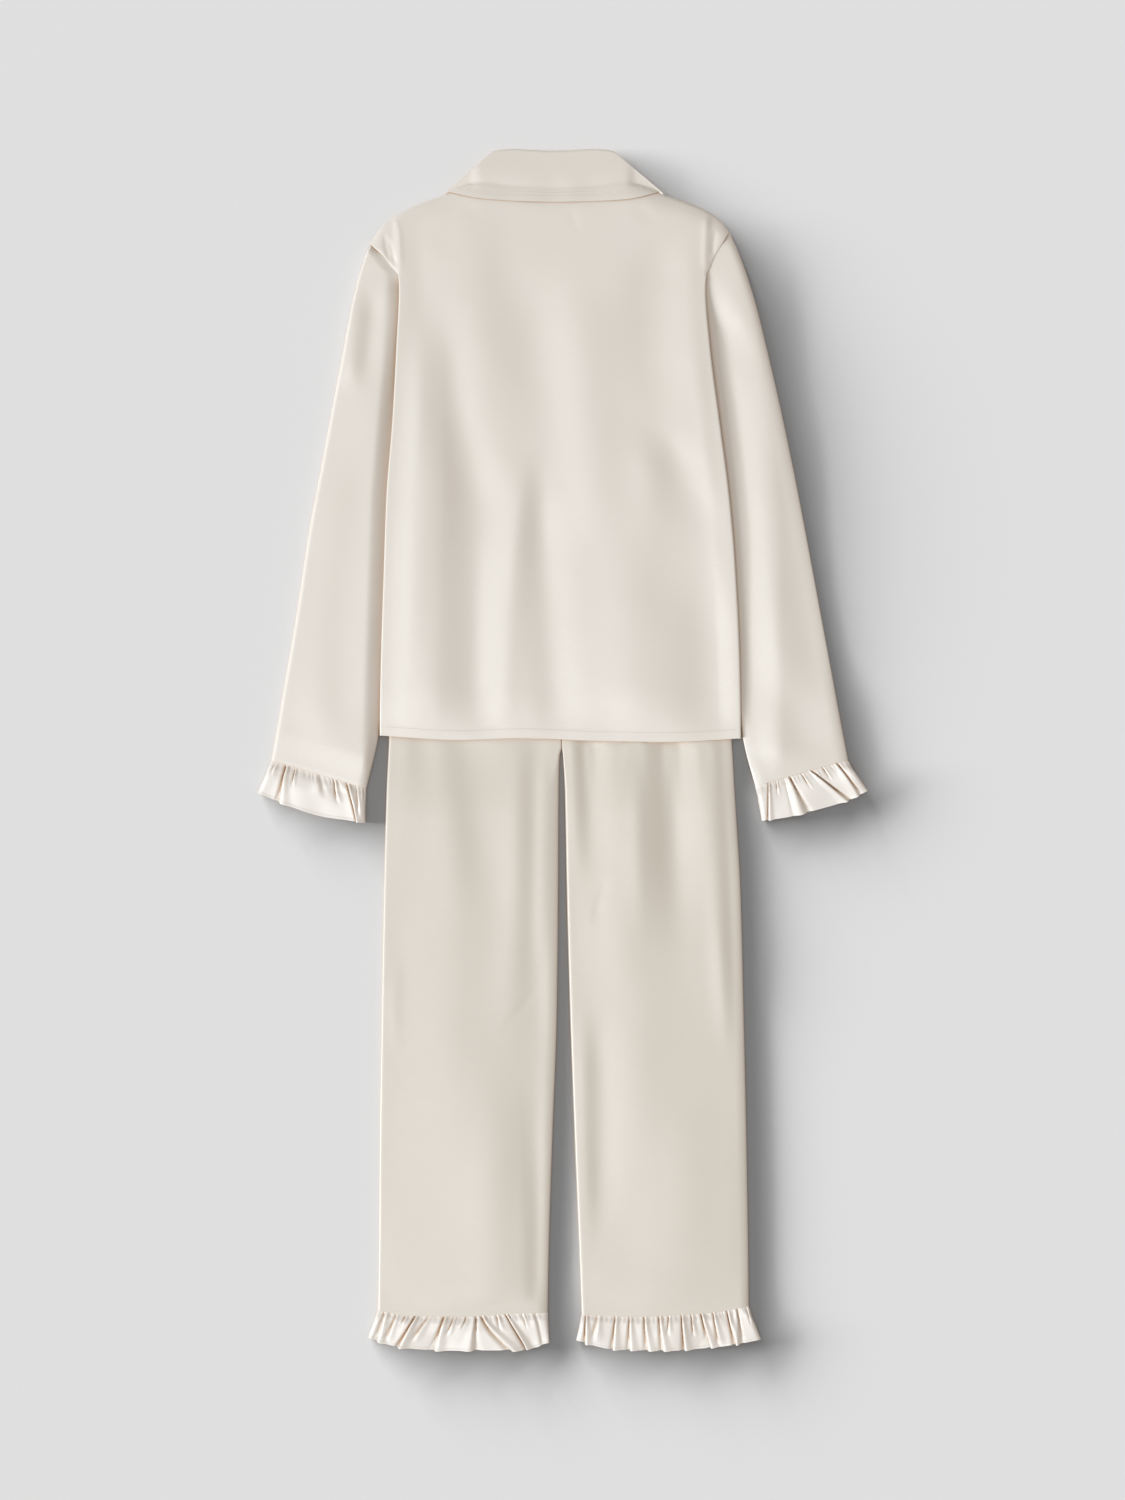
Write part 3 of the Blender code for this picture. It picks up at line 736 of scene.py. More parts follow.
@dataclass(frozen=True)
class ShirtOutline:
    """Where the shirt's body folds and ends, shared by its back, fronts and sleeves."""

    # y, left fold, right fold, width turned under
    sides: tuple = (
        (12, -190, 185.5, 4),
        (100, -188, 183.5, 10),
        (190, -185, 179, 17),
        (260, -182.5, 173, 22),
        (345, -176, 162, 28),
        (420, -172, 152.5, 16),
        (480, -169.4, 148.2, 6),
        (493, -170.4, 149.2, 4),
        (502, -177.5, 153.2, 3),
        (512, -185, 157.6, 3),
        (528, -199, 167, 3),
        (539, -199, 173, 3),
    )
    hem: tuple = ((-190, 15), (-107, 10.5), (-41, 12.5), (39, 9.5), (108, 8.5), (186, 12))
    shoulders: tuple = (
        (-199, 528),
        (-186, 545),
        (-162, 561),
        (-127, 575),
        (-88, 588),
        (-50, 584),
        (-10, 582),
        (30, 584),
        (68, 588),
        (111, 575),
        (148, 561),
        (165, 549),
        (173, 539),
    )
    armhole_left: tuple = (
        (-199, 528),
        (-184, 511),
        (-171, 493),
        (-162, 465),
        (-155, 430),
        (-150, 390),
        (-147, 352),
    )
    armhole_right: tuple = (
        (173, 539),
        (160, 517),
        (149.5, 493),
        (143, 465),
        (138, 430),
        (135, 390),
        (133, 352),
    )

    def side_x(self, side: Side, y: Array) -> Array:
        """Where the body folds on one side."""
        left, right, _ = table_curves(self.sides)
        return (left if side is Side.LEFT else right)(y)

    def crease_x(self, side: Side, y: Array) -> Array:
        """The side fold, and the crease that carries it on up over the shoulder."""
        up = -170.0 - 0.05 * (y - 493) if side is Side.LEFT else 148.6 + 0.04 * (y - 493)
        return np.where(y < 491, self.side_x(side, y), up)

    def tuck(self, y: Array) -> Array:
        """How far the cloth is turned under at the side folds."""
        return table_curves(self.sides)[2](y)

    def hem_y(self, x: Array) -> Array:
        """The hem's line."""
        return table_curves(self.hem)[0](x)

    def top_y(self, x: Array) -> Array:
        """The shoulders' and neck's line."""
        return table_curves(self.shoulders)[0](x)

    def centre(self, y: Array) -> Array:
        """Middle of the body, where the fronts close."""
        return -2.0 - 9.0 * np.asarray(y, float) / 495

    def armhole(self, side: Side) -> tuple:
        """The armhole's points, from the shoulder down."""
        return self.armhole_left if side is Side.LEFT else self.armhole_right

    def plan(self, u: Array, v: Array) -> tuple[Array, Array]:
        """Plan place on the back panel.

        Args:
            u: share across from the left side.
            v: share up from the hem.

        Returns:
            X and Y.
        """
        left_y = mix(self.hem[0][1], self.shoulders[0][1], v)
        right_y = mix(self.hem[-1][1], self.shoulders[-1][1], v)
        hem_x = mix(self.hem[0][0], self.hem[-1][0], u)
        top_x = mix(self.shoulders[0][0], self.shoulders[-1][0], u)
        hem_rise = self.hem_y(hem_x) - mix(self.hem[0][1], self.hem[-1][1], u)
        top_rise = self.top_y(top_x) - mix(self.shoulders[0][1], self.shoulders[-1][1], u)
        x = mix(self.side_x(Side.LEFT, left_y), self.side_x(Side.RIGHT, right_y), u)
        return x, mix(left_y, right_y, u) + hem_rise * (1.0 - v) + top_rise * v


@dataclass
class ShirtBack:
    """Back panel: one sheet from the hem to the shoulders, its sides turned under over the sleeves."""

    outline: ShirtOutline
    pitch: float = 2.9
    fold_radius: float = 1.4
    seam_radius: float = 0.5
    fold_steps: int = 8
    tuck_steps: int = 5
    hem_band: float = 11.0
    wall: float = 0.7
    # y, height at the left fold, in the middle and at the right fold
    heights: tuple = (
        (8, 6.0, 6.0, 6.0),
        (60, 9.0, 9.2, 8.8),
        (150, 10.6, 10.4, 10.4),
        (260, 11.2, 10.8, 12.0),
        (400, 10.6, 10.0, 12.6),
        (462, 9.4, 9.4, 10.8),
        (495, 8.8, 9.2, 9.6),
        (545, 8.4, 8.8, 8.6),
        (590, 7.6, 8.0, 7.6),
    )
    side_bank: tuple = (4.0, 75.0)
    left_calm: float = 30.0
    right_calm: float = 24.0
    hem_share: float = 0.25
    crumple: float = 0.22
    length: float = 525.0
    width: float = 372.0
    seam_start: tuple = (470.0, 497.0)
    shoulder_low: float = 1.9
    shoulder_slope: float = 1.5
    slope_depth: float = 22.0
    shoulder_rounding: float = 15.0
    neck_rise: float = 2.6
    armhole_drop: float = 1.3
    seam_height: float = 6.7
    seam_rounding: float = 2.6
    hem_thicker: float = 0.25
    stitch_groove: float = 0.2
    stitch_in: float = 1.5
    armhole_folds: tuple = (
        Fold(Form.TROUGH, ((-185, 537, 2.0), (-183, 522, 2.4), (-179.5, 508, 1.8)), 1.0, 8, 4),
        Fold(Form.TROUGH, ((-180, 530, 1.6), (-177, 516, 1.8), (-173, 503, 1.5)), 0.7, 6, 4),
        Fold(Form.RIDGE, ((-173, 551, 2.6), (-169, 532, 2.8), (-168, 500, 3.0)), 0.5, 6, 10),
        Fold(Form.TROUGH, ((159, 540, 2.2), (157, 526, 2.4), (156, 512, 2.0)), 0.8, 8, 5),
        Fold(Form.RIDGE, ((149, 552, 3.2), (148, 530, 3.2), (147, 500, 3.4)), 0.6, 6, 10),
    )
    folds: tuple = (
        Fold(Form.RIDGE, ((-152, 430, 15), (-154, 260, 16), (-160, 80, 16)), 1.2, 110, 90),
        Fold(
            Form.FALL,
            ((-128, 440, 16), (-124, 320, 19), (-126, 200, 22), (-130, 8, 23)),
            2.0,
            110,
            30,
            -0.1,
        ),
        Fold(Form.FALL, ((-110, 350, 18), (-103, 220, 22), (-100, 8, 22)), 2.8, 90, 30),
        Fold(Form.RISE, ((-78, 200, 12), (-74, 10, 14)), 0.4, 90, 30),
        Fold(Form.FALL, ((-38, 280, 10), (-48, 140, 16), (-53, 8, 18)), 1.9, 80, 30),
        Fold(Form.FALL, ((-30, 290, 10), (-26, 140, 16), (-20, 8, 18)), 1.8, 90, 30),
        Fold(Form.FALL, ((-78, 530, 22), (-62, 450, 26), (-44, 350, 22)), 0.8, 80, 80),
        Fold(Form.RISE, ((-118, 560, 24), (-118, 470, 26), (-112, 390, 24)), 0.8, 40, 80),
        Fold(Form.RISE, ((-62, 300, 22), (-60, 220, 22)), 0.7, 50, 60),
        Fold(Form.RISE, ((-6, 500, 22), (-2, 400, 26), (8, 300, 30), (14, 200, 28)), 1.7, 90, 90),
        Fold(Form.RIDGE, ((42, 340, 30), (48, 160, 32), (52, 20, 34)), 0.9, 90, 40),
        Fold(Form.FALL, ((98, 330, 17), (108, 280, 20), (118, 232, 28), (126, 180, 30)), 1.9, 40, 90),
        Fold(Form.FALL, ((92, 230, 26), (102, 60, 30), (108, 8, 30)), 1.8, 90, 30),
        Fold(Form.FALL, ((130, 200, 22), (136, 60, 26), (138, 8, 26)), 2.0, 90, 30),
        Fold(Form.FALL, ((84, 530, 24), (76, 460, 28), (72, 380, 26)), 0.9, 40, 80),
        Fold(Form.RISE, ((116, 540, 22), (120, 440, 26), (124, 340, 22)), 0.8, 50, 70),
        Fold(Form.RIDGE, ((146, 440, 9), (150, 330, 10), (164, 160, 9)), 0.5, 70, 60),
        Fold(Form.TROUGH, ((-126, 548, 10), (-104, 563, 9), (-84, 556, 9)), 0.4, 16, 16, lying=True),
        Fold(Form.TROUGH, ((2, 558, 8), (10, 552, 9), (20, 536, 9)), 0.3, 12, 12, lying=True),
        Fold(Form.TROUGH, ((70, 560, 8), (82, 560, 9), (96, 549, 9)), 0.35, 12, 14, lying=True),
        Fold(Form.RISE, ((-150, 540, 14), (-142, 490, 18), (-136, 430, 18)), 0.5, 30, 60),
    )

    def height(self, x: Array, y: Array) -> Array:
        """Middle of the cloth above the floor.

        Args:
            x: places across.
            y: places along.

        Returns:
            Height at each place.
        """
        left, middle, right = (curve(y) for curve in table_curves(self.heights))
        from_left = x - self.outline.crease_x(Side.LEFT, y)
        from_right = self.outline.crease_x(Side.RIGHT, y) - x
        level = mix(left, middle, ramp(*self.side_bank, from_left))
        level = mix(right, level, ramp(*self.side_bank, from_right))
        edge = ramp(0, self.left_calm, from_left) * ramp(0, self.right_calm, from_right)
        # The sewn hem holds the folds down.
        above_hem = ramp(6, 70, y) * (1.0 - self.hem_share) + self.hem_share
        level = level + folded(self.folds, x, y) * edge * above_hem
        level = level + self.crumple * slow_waves(x, y, 11, 55, 190, 3.0) * edge
        head = ramp(484, 497, y)
        past = ramp(-1.5, 6.0, -np.minimum(from_left, from_right)) * head
        level = level - self.armhole_drop * past + folded(self.armhole_folds, x, y)
        to_left = x - self.outline.side_x(Side.LEFT, y)
        to_right = self.outline.side_x(Side.RIGHT, y) - x
        to_side = np.maximum(np.minimum(to_left, to_right), 0.0)
        into_seam = 1.0 - rounded(to_side + 0.01, self.seam_rounding)
        level = mix(level, self.seam_height, into_seam * ramp(489, 498, y))
        below_top = self.outline.top_y(x) - y
        level = level - self.shoulder_slope * (1.0 - ramp(0, self.slope_depth, below_top))
        end = self.shoulder_low + self.neck_rise * ramp(-96, -86, x) * (1 - ramp(66, 76, x))
        return mix(end, level, rounded(below_top + 0.01, self.shoulder_rounding))

    def grid(self) -> Array:
        """Points of the whole sheet.

        Returns:
            Rows from the hem up, columns from the left tuck to the right one.
        """
        v = spread(self.length, self.pitch, ((0, 14, 1.0), (470, self.length, 1.5)))[:, None]
        u = spread(self.width, self.pitch, ((0, 34, 1.3), (346, self.width, 1.3)))[None, :]
        x, y = self.outline.plan(u, v)
        radius = mix(self.fold_radius, self.seam_radius, ramp(*self.seam_start, y))
        x = x + radius * (1.0 - ramp(0, 0.1, u)) - radius * ramp(0.9, 1.0, u)
        flat = np.stack([x, y, self.height(x, y)], -1)
        return np.concatenate([self.turned(flat[:, 0], -1)[:, ::-1], flat, self.turned(flat[:, -1], 1)], 1)

    def turned(self, edge: Array, outward: int) -> Array:
        """The cloth past one side fold: round it and back underneath.

        Args:
            edge: the last points of the upper sheet.
            outward: sign of X away from the body.

        Returns:
            Points by row, from the fold inwards.
        """
        x, y, z = (edge[:, k : k + 1] for k in range(3))
        radius = mix(self.fold_radius, self.seam_radius, ramp(*self.seam_start, y))
        radius = radius * (0.55 + 0.45 * ramp(8, 40, y))
        turn = np.linspace(0.0, math.pi, self.fold_steps + 1)[None, 1:]
        round_x = x + outward * radius * np.sin(turn)
        round_z = z - radius * (1.0 - np.cos(turn))
        reach = np.linspace(0.0, 1.0, self.tuck_steps + 1)[None, 1:]
        under_x = x - outward * self.outline.tuck(y) * reach
        under_z = z - 2 * radius + 0 * reach
        xs, zs = np.concatenate([round_x, under_x], 1), np.concatenate([round_z, under_z], 1)
        return np.stack([xs, y + 0 * xs, zs], -1)

    def build(self, satin: bpy.types.Material, thread: bpy.types.Material) -> None:
        """Lays the back and sews its hem.

        Args:
            satin: the cloth's material.
            thread: the stitches' material.
        """
        grid = self.grid()
        above_hem = grid[..., 1] - self.outline.hem_y(grid[..., 0])
        wall = self.wall + self.hem_thicker * (1.0 - ramp(self.hem_band - 1, self.hem_band + 1, above_hem))
        from_stitches = above_hem - self.hem_band + self.stitch_in
        wall = wall - self.stitch_groove * np.exp(-((from_stitches / GROOVE_HALF) ** 2))
        fronts = ("shirt_front_left", "shirt_front_right")
        cut = Cut("shirt_back", ("back",), (0.46, 0.60), Held.LAID, fronts, 0.21)
        lay(cut, grid, satin, wall)
        x = np.linspace(-184, 180, 300)
        y = self.outline.hem_y(x) + self.hem_band - self.stitch_in
        line = np.stack([x, y, self.height(x, y) + self.wall / 2 + 0.12], -1)
        Topstitch("stitches_shirt_hem").sew(line, np.tile([0.0, 0.0, 1.0], (len(x), 1)), thread)


@dataclass
class ShirtFront:
    """One front panel, under the back: seen from below and at the edges."""

    outline: ShirtOutline
    side: Side
    pitch: float = 4.5
    wall: float = 0.7
    placket_half: float = 13.0
    placket_top: float = 478.0
    neck_end: tuple[float, float] = (20.0, 486.0)
    over_trousers: float = 3.9
    on_floor: float = 0.5
    over_collar: float = 1.3
    strip_lift: float = 1.9
    lap: float = 1.35
    underarm: float = 0.62
    crumple: float = 0.3
    trouser_top: tuple = (262.0, 300.0)
    collar_foot: tuple = (400.0, 444.0)
    foot: tuple = (20.0, 78.0)
    hem_at_closing: float = 10.0
    length: float = 510.0
    width: float = 190.0

    def layer(self, y: Array) -> Array:
        """Height of cloth that lies on the trousers, and on the floor past their waist."""
        return mix(self.over_trousers, self.on_floor, ramp(*self.trouser_top, y))

    def height(self, x: Array, y: Array) -> Array:
        """Middle of the cloth, with the lift over the buttons and the lap.

        Args:
            x: places across.
            y: places along.

        Returns:
            Height at each place.
        """
        out = (x - self.outline.centre(y)) * self.side.value
        above_foot = ramp(*self.foot, y)
        lifted = self.strip_lift * (0.3 + 0.7 * above_foot)
        lap = self.lap if self.side is Side.LEFT else 0.0
        strip = self.layer(y) + lifted + lap * (0.6 + 0.4 * above_foot)
        body = self.layer(y) + self.over_collar * ramp(*self.collar_foot, y)
        body = body + self.crumple * np.clip(slow_waves(x, y, 23, 50, 160, 2.5), 0, 2) * ramp(25, 60, out)
        return mix(strip, body, ramp(self.placket_half + 5, self.placket_half + 25, out))

    def seam(self, v: Array) -> tuple[Array, Array]:
        """Side seam up to the underarm, then the armhole up to the shoulder.

        Args:
            v: share up from the hem.

        Returns:
            X and Y.
        """
        sign = self.side.value
        armhole = self.outline.armhole(self.side)
        low_y = mix(15.0, armhole[-1][1], v / self.underarm)
        low_x = self.outline.side_x(self.side, low_y) - sign * self.outline.tuck(low_y)
        t = 1.0 - np.clip((v - self.underarm) / (1.0 - self.underarm), 0.0, 1.0)
        high_x, high_y = (curve(t) for curve in path_curves(armhole))
        below = v < self.underarm
        return np.where(below, low_x, high_x) - 2.0 * sign, np.where(below, low_y, high_y - 2.0)

    def grid(self) -> Array:
        """Points of the panel.

        Returns:
            Rows from the hem up, columns from the side seam to the button edge.
        """
        sign = self.side.value
        shoulder = [p for p in self.outline.shoulders if (p[0] < -80 if sign < 0 else p[0] > 60)]
        if sign > 0:
            shoulder = shoulder[::-1]
        neck = (self.outline.centre(self.neck_end[1]) + sign * self.neck_end[0], self.neck_end[1])
        closing = (self.outline.centre(self.placket_top) - sign * self.placket_half, self.placket_top)
        sloped = [tuple(mix(np.array(shoulder[-1]), np.array(neck), t)) for t in (0.25, 0.5, 0.75, 1.0)]
        top_x, top_y = path_curves(shoulder + sloped + [closing])
        v = spread(self.length, self.pitch, ((0, 13, 1.5),))[:, None]
        u = spread(self.width, self.pitch, ((150, self.width, 2.0),))[None, :]
        outer_x, outer_y = self.seam(v)
        inner_y = mix(self.hem_at_closing, self.placket_top, v)
        inner_x = self.outline.centre(inner_y) - sign * self.placket_half
        foot_x, foot_y = (float(value) for value in self.seam(np.array(0.0)))
        hem_x = mix(foot_x, self.outline.centre(self.hem_at_closing) - sign * self.placket_half, u)
        hem_rise = self.outline.hem_y(hem_x) - mix(foot_y, self.hem_at_closing, u)
        end_x, end_y = self.seam(np.array(1.0))
        level = np.minimum(1.0, u / 0.7)
        x = mix(outer_x, inner_x, u) + (top_x(u) - mix(end_x, closing[0], u)) * v**3
        rise = top_y(u) - mix(end_y, closing[1], u) + mix(outer_y, inner_y, u) - mix(outer_y, inner_y, level)
        y = mix(outer_y, inner_y, level) + rise * v**3 + hem_rise * (1.0 - v)
        return np.stack([x, y, self.height(x, y)], -1)

    def build(self, satin: bpy.types.Material) -> None:
        """Lays the panel."""
        name = f"front_{self.side.word}"
        lay(Cut(f"shirt_{name}", (name,), (0.27, 0.62), Held.LAID, (), 0.1), self.grid(), satin, self.wall)


@dataclass
class Collar:
    """Turned-down collar: its stand and fall are one strip rolled over the neck seam."""

    back: ShirtBack
    steps: int = 170
    stand_steps: int = 7
    roll_steps: int = 12
    fall_depth: float = 50.0
    wall: float = 1.1
    above_back: float = 1.5
    ripple: float = 0.3
    billow: float = 1.0
    # Shares of the way from the seam, or from the edge, to the roll line that the round takes over at.
    stand_share: float = 0.9
    round_out: float = 0.1
    fall_share: float = 0.95
    fall_start: float = 0.05
    # heights of the neck seam and of the roll's upper side where the collar crosses the back
    low_at_back: float = 1.2
    high_at_back: float = 4.6
    stitch_rows: tuple = (7.0, 10.5)
    stitch_groove: float = 0.4
    # The stitches run only where the fall lies on the back.
    stitched: tuple = (0.27, 0.73)
    # neck, roll and edge in plan, and the heights of the stand and of the fall's edge
    rows: tuple = (
        (-26, 490, -22, 485, -72, 456, 1.9, 0.6),
        (-45, 523, -39, 517, -97, 497, 1.9, 0.6),
        (-65, 559, -56, 556, -113, 540, 1.9, 0.6),
        (-80, 586, -69, 590, -121, 564, 1.9, 0.6),
        (-82, 592, -74, 606, -118, 570, 2.0, 0.7),
        (-81, 595, -76, 613, -121.5, 577, 2.4, 2.9),
        (-76, 592, -73, 621, -119, 580, 2.6, 5.4),
        (-50, 588, -50, 624, -84, 572, 2.6, 5.8),
        (-10, 585.5, -9, 622, -9, 568.5, 2.6, 6.1),
        (30, 588, 32, 624, 65, 571, 2.6, 5.8),
        (56, 592, 54, 621, 102, 580, 2.6, 5.4),
        (61, 595, 57, 613, 104.5, 577, 2.4, 2.9),
        (62, 592, 55, 606, 101, 570, 2.0, 0.7),
        (60, 586, 50, 590, 104, 566, 1.9, 0.6),
        (44, 559, 36, 556, 96, 540, 1.9, 0.6),
        (24, 523, 18, 517, 80, 497, 1.9, 0.6),
        (5, 490, 1, 485, 54, 456, 1.9, 0.6),
    )

    def grid(self) -> Array:
        """Points of the strip.

        Returns:
            Rows from the neck seam over the roll to the edge, columns along the collar.
        """
        u = np.linspace(0.0, 1.0, self.steps)[None, :]
        columns = (curve(u) for curve in path_curves(self.rows))
        neck_x, neck_y, roll_x, roll_y, edge_x, edge_y, neck_z, edge_z = columns
        stand = np.linspace(0.0, 1.0, self.stand_steps)[:, None]
        turn = np.linspace(0.0, math.pi, self.roll_steps + 1)[1:, None]
        fall = spread(self.fall_depth, 2.2, ((38, self.fall_depth, 1.0),))[1:, None]
        stand_x = mix(neck_x, roll_x, self.stand_share * stand)
        stand_y = mix(neck_y, roll_y, self.stand_share * stand)
        behind = ramp(1.0, 5.6, edge_z)
        roll_low = mix(neck_z, self.low_at_back, behind)
        roll_high = mix(edge_z, self.high_at_back, behind)
        stand_z = mix(neck_z, roll_low, stand)
        reach = self.stand_share + self.round_out * np.sin(turn)
        blend = 0.5 - 0.5 * np.cos(turn)
        back_share = mix(self.fall_share, 1.0, np.sin(turn))
        round_x = mix(mix(neck_x, roll_x, reach), mix(edge_x, roll_x, back_share), blend)
        round_y = mix(mix(neck_y, roll_y, reach), mix(edge_y, roll_y, back_share), blend)
        round_z = (roll_low + roll_high) / 2 - (roll_high - roll_low) / 2 * np.cos(turn)
        share = mix(self.fall_start, 1.0, fall)
        fall_x, fall_y = mix(roll_x, edge_x, share), mix(roll_y, edge_y, share)
        ripple = self.ripple * np.sin(fall_x / 9.0 + 1.3 * np.sin(fall_x / 23.0))
        over_back = self.back.height(fall_x, fall_y) + self.above_back + ripple * ramp(0.2, 0.7, fall)
        fall_z = mix(roll_high + 0 * fall, mix(edge_z, over_back, behind), ramp(0.0, 0.75, fall))
        fall_z = fall_z + self.billow * np.sin(math.pi * fall) * behind
        xs = np.concatenate([stand_x, round_x, fall_x])
        ys = np.concatenate([stand_y, round_y, fall_y])
        zs = np.concatenate([stand_z + 0 * u, round_z, fall_z])
        return np.stack([xs, ys, zs], -1)

    def build(self, satin: bpy.types.Material, thread: bpy.types.Material) -> None:
        """Lays the collar and sews round its edge.

        Args:
            satin: the cloth's material.
            thread: the stitches' material.
        """
        grid = self.grid()
        from_edge = np.linalg.norm(grid - grid[-1:], axis=2)
        wall = self.wall + 0 * from_edge
        for stitch_in in self.stitch_rows:
            wall = wall - self.stitch_groove * np.exp(-(((from_edge - stitch_in) / GROOVE_HALF) ** 2))
        cut = Cut("collar_strip", ("collar",), (0.48, 0.10), Held.FOLDED, ("shirt_back",), 0.045)
        lay(cut, grid, satin, wall)
        normals = grid_normals(grid, False)
        shown = slice(*(int(self.steps * share) for share in self.stitched))
        for number, stitch_in in enumerate(self.stitch_rows, 1):
            row = int(np.argmin(np.abs(from_edge[:, self.steps // 2] - stitch_in)))
            line = grid[row, shown] + normals[row, shown] * (self.wall / 2 - 0.1)
            Topstitch(f"stitches_collar_{number}").sew(line, normals[row, shown], thread)


@dataclass
class FlatTube:
    """A tube of cloth lying flat: an upper sheet with rounded edges and a lower one on the floor."""

    middle: float = 1.5
    floor: float = 0.45
    low_radius: float = 3.0
    edge_steps: int = 9
    low_steps: int = 4
    edge_reach: float = 12.0
    low_coarser: float = 2.2
    # The lower sheet arches by this share of the gap that is left above the clearance.
    arch_share: float = 0.25
    arch_clearance: float = 2.2
    most_gap: float = 3.5

    def ring(
        self,
        first: tuple[Array, Array],
        second: tuple[Array, Array],
        crest: Callable[[Array, Array], Array],
        radii: tuple[Array, Array],
        pitch: float,
    ) -> Array:
        """Points round the tube.

        Args:
            first: X and Y of one edge, by row.
            second: X and Y of the other edge.
            crest: height of the upper sheet at a place, before its edges are rounded.
            radii: how far each edge's rounding reaches.
            pitch: distance between points on the upper sheet.

        Returns:
            Rows x columns x 3 points that close round.
        """
        width = float(np.hypot(second[0] - first[0], second[1] - first[1]).mean())
        t = fold_spread(width, pitch, self.edge_reach, self.edge_steps)[None, :]
        x, y, from_first, from_second = self.across(first, second, t)
        shape = rounded(from_first, radii[0]) * rounded(from_second, radii[1])
        upper = np.stack([x, y, self.middle + (crest(x, y) - self.middle) * shape], -1)
        t = fold_spread(width, pitch * self.low_coarser, self.low_radius, self.low_steps)[None, 1:-1][:, ::-1]
        x, y, from_first, from_second = self.across(first, second, t)
        shape = rounded(from_first, self.low_radius) * rounded(from_second, self.low_radius)
        # Soft arches along the side that lies on the table, kept well clear of the upper sheet.
        arches = np.clip(slow_waves(x, y, 71, 30, 190, 2.0), 0.0, 1.0)
        lift = self.arch_share * arches * np.clip(crest(x, y) - self.arch_clearance, 0.0, self.most_gap)
        lower = np.stack([x, y, self.middle + (self.floor + lift - self.middle) * shape], -1)
        return np.concatenate([upper, lower], 1)

    @staticmethod
    def across(first: tuple[Array, Array], second: tuple[Array, Array], t: Array) -> tuple[Array, ...]:
        """Plan places between two edges.

        Args:
            first: X and Y of one edge, by row.
            second: X and Y of the other edge.
            t: share across from the first.

        Returns:
            X, Y and the distances from the first edge and from the second.
        """
        width = np.hypot(second[0] - first[0], second[1] - first[1])
        x, y = mix(first[0], second[0], t), mix(first[1], second[1], t)
        return x, y, width * t, width * (1.0 - t)


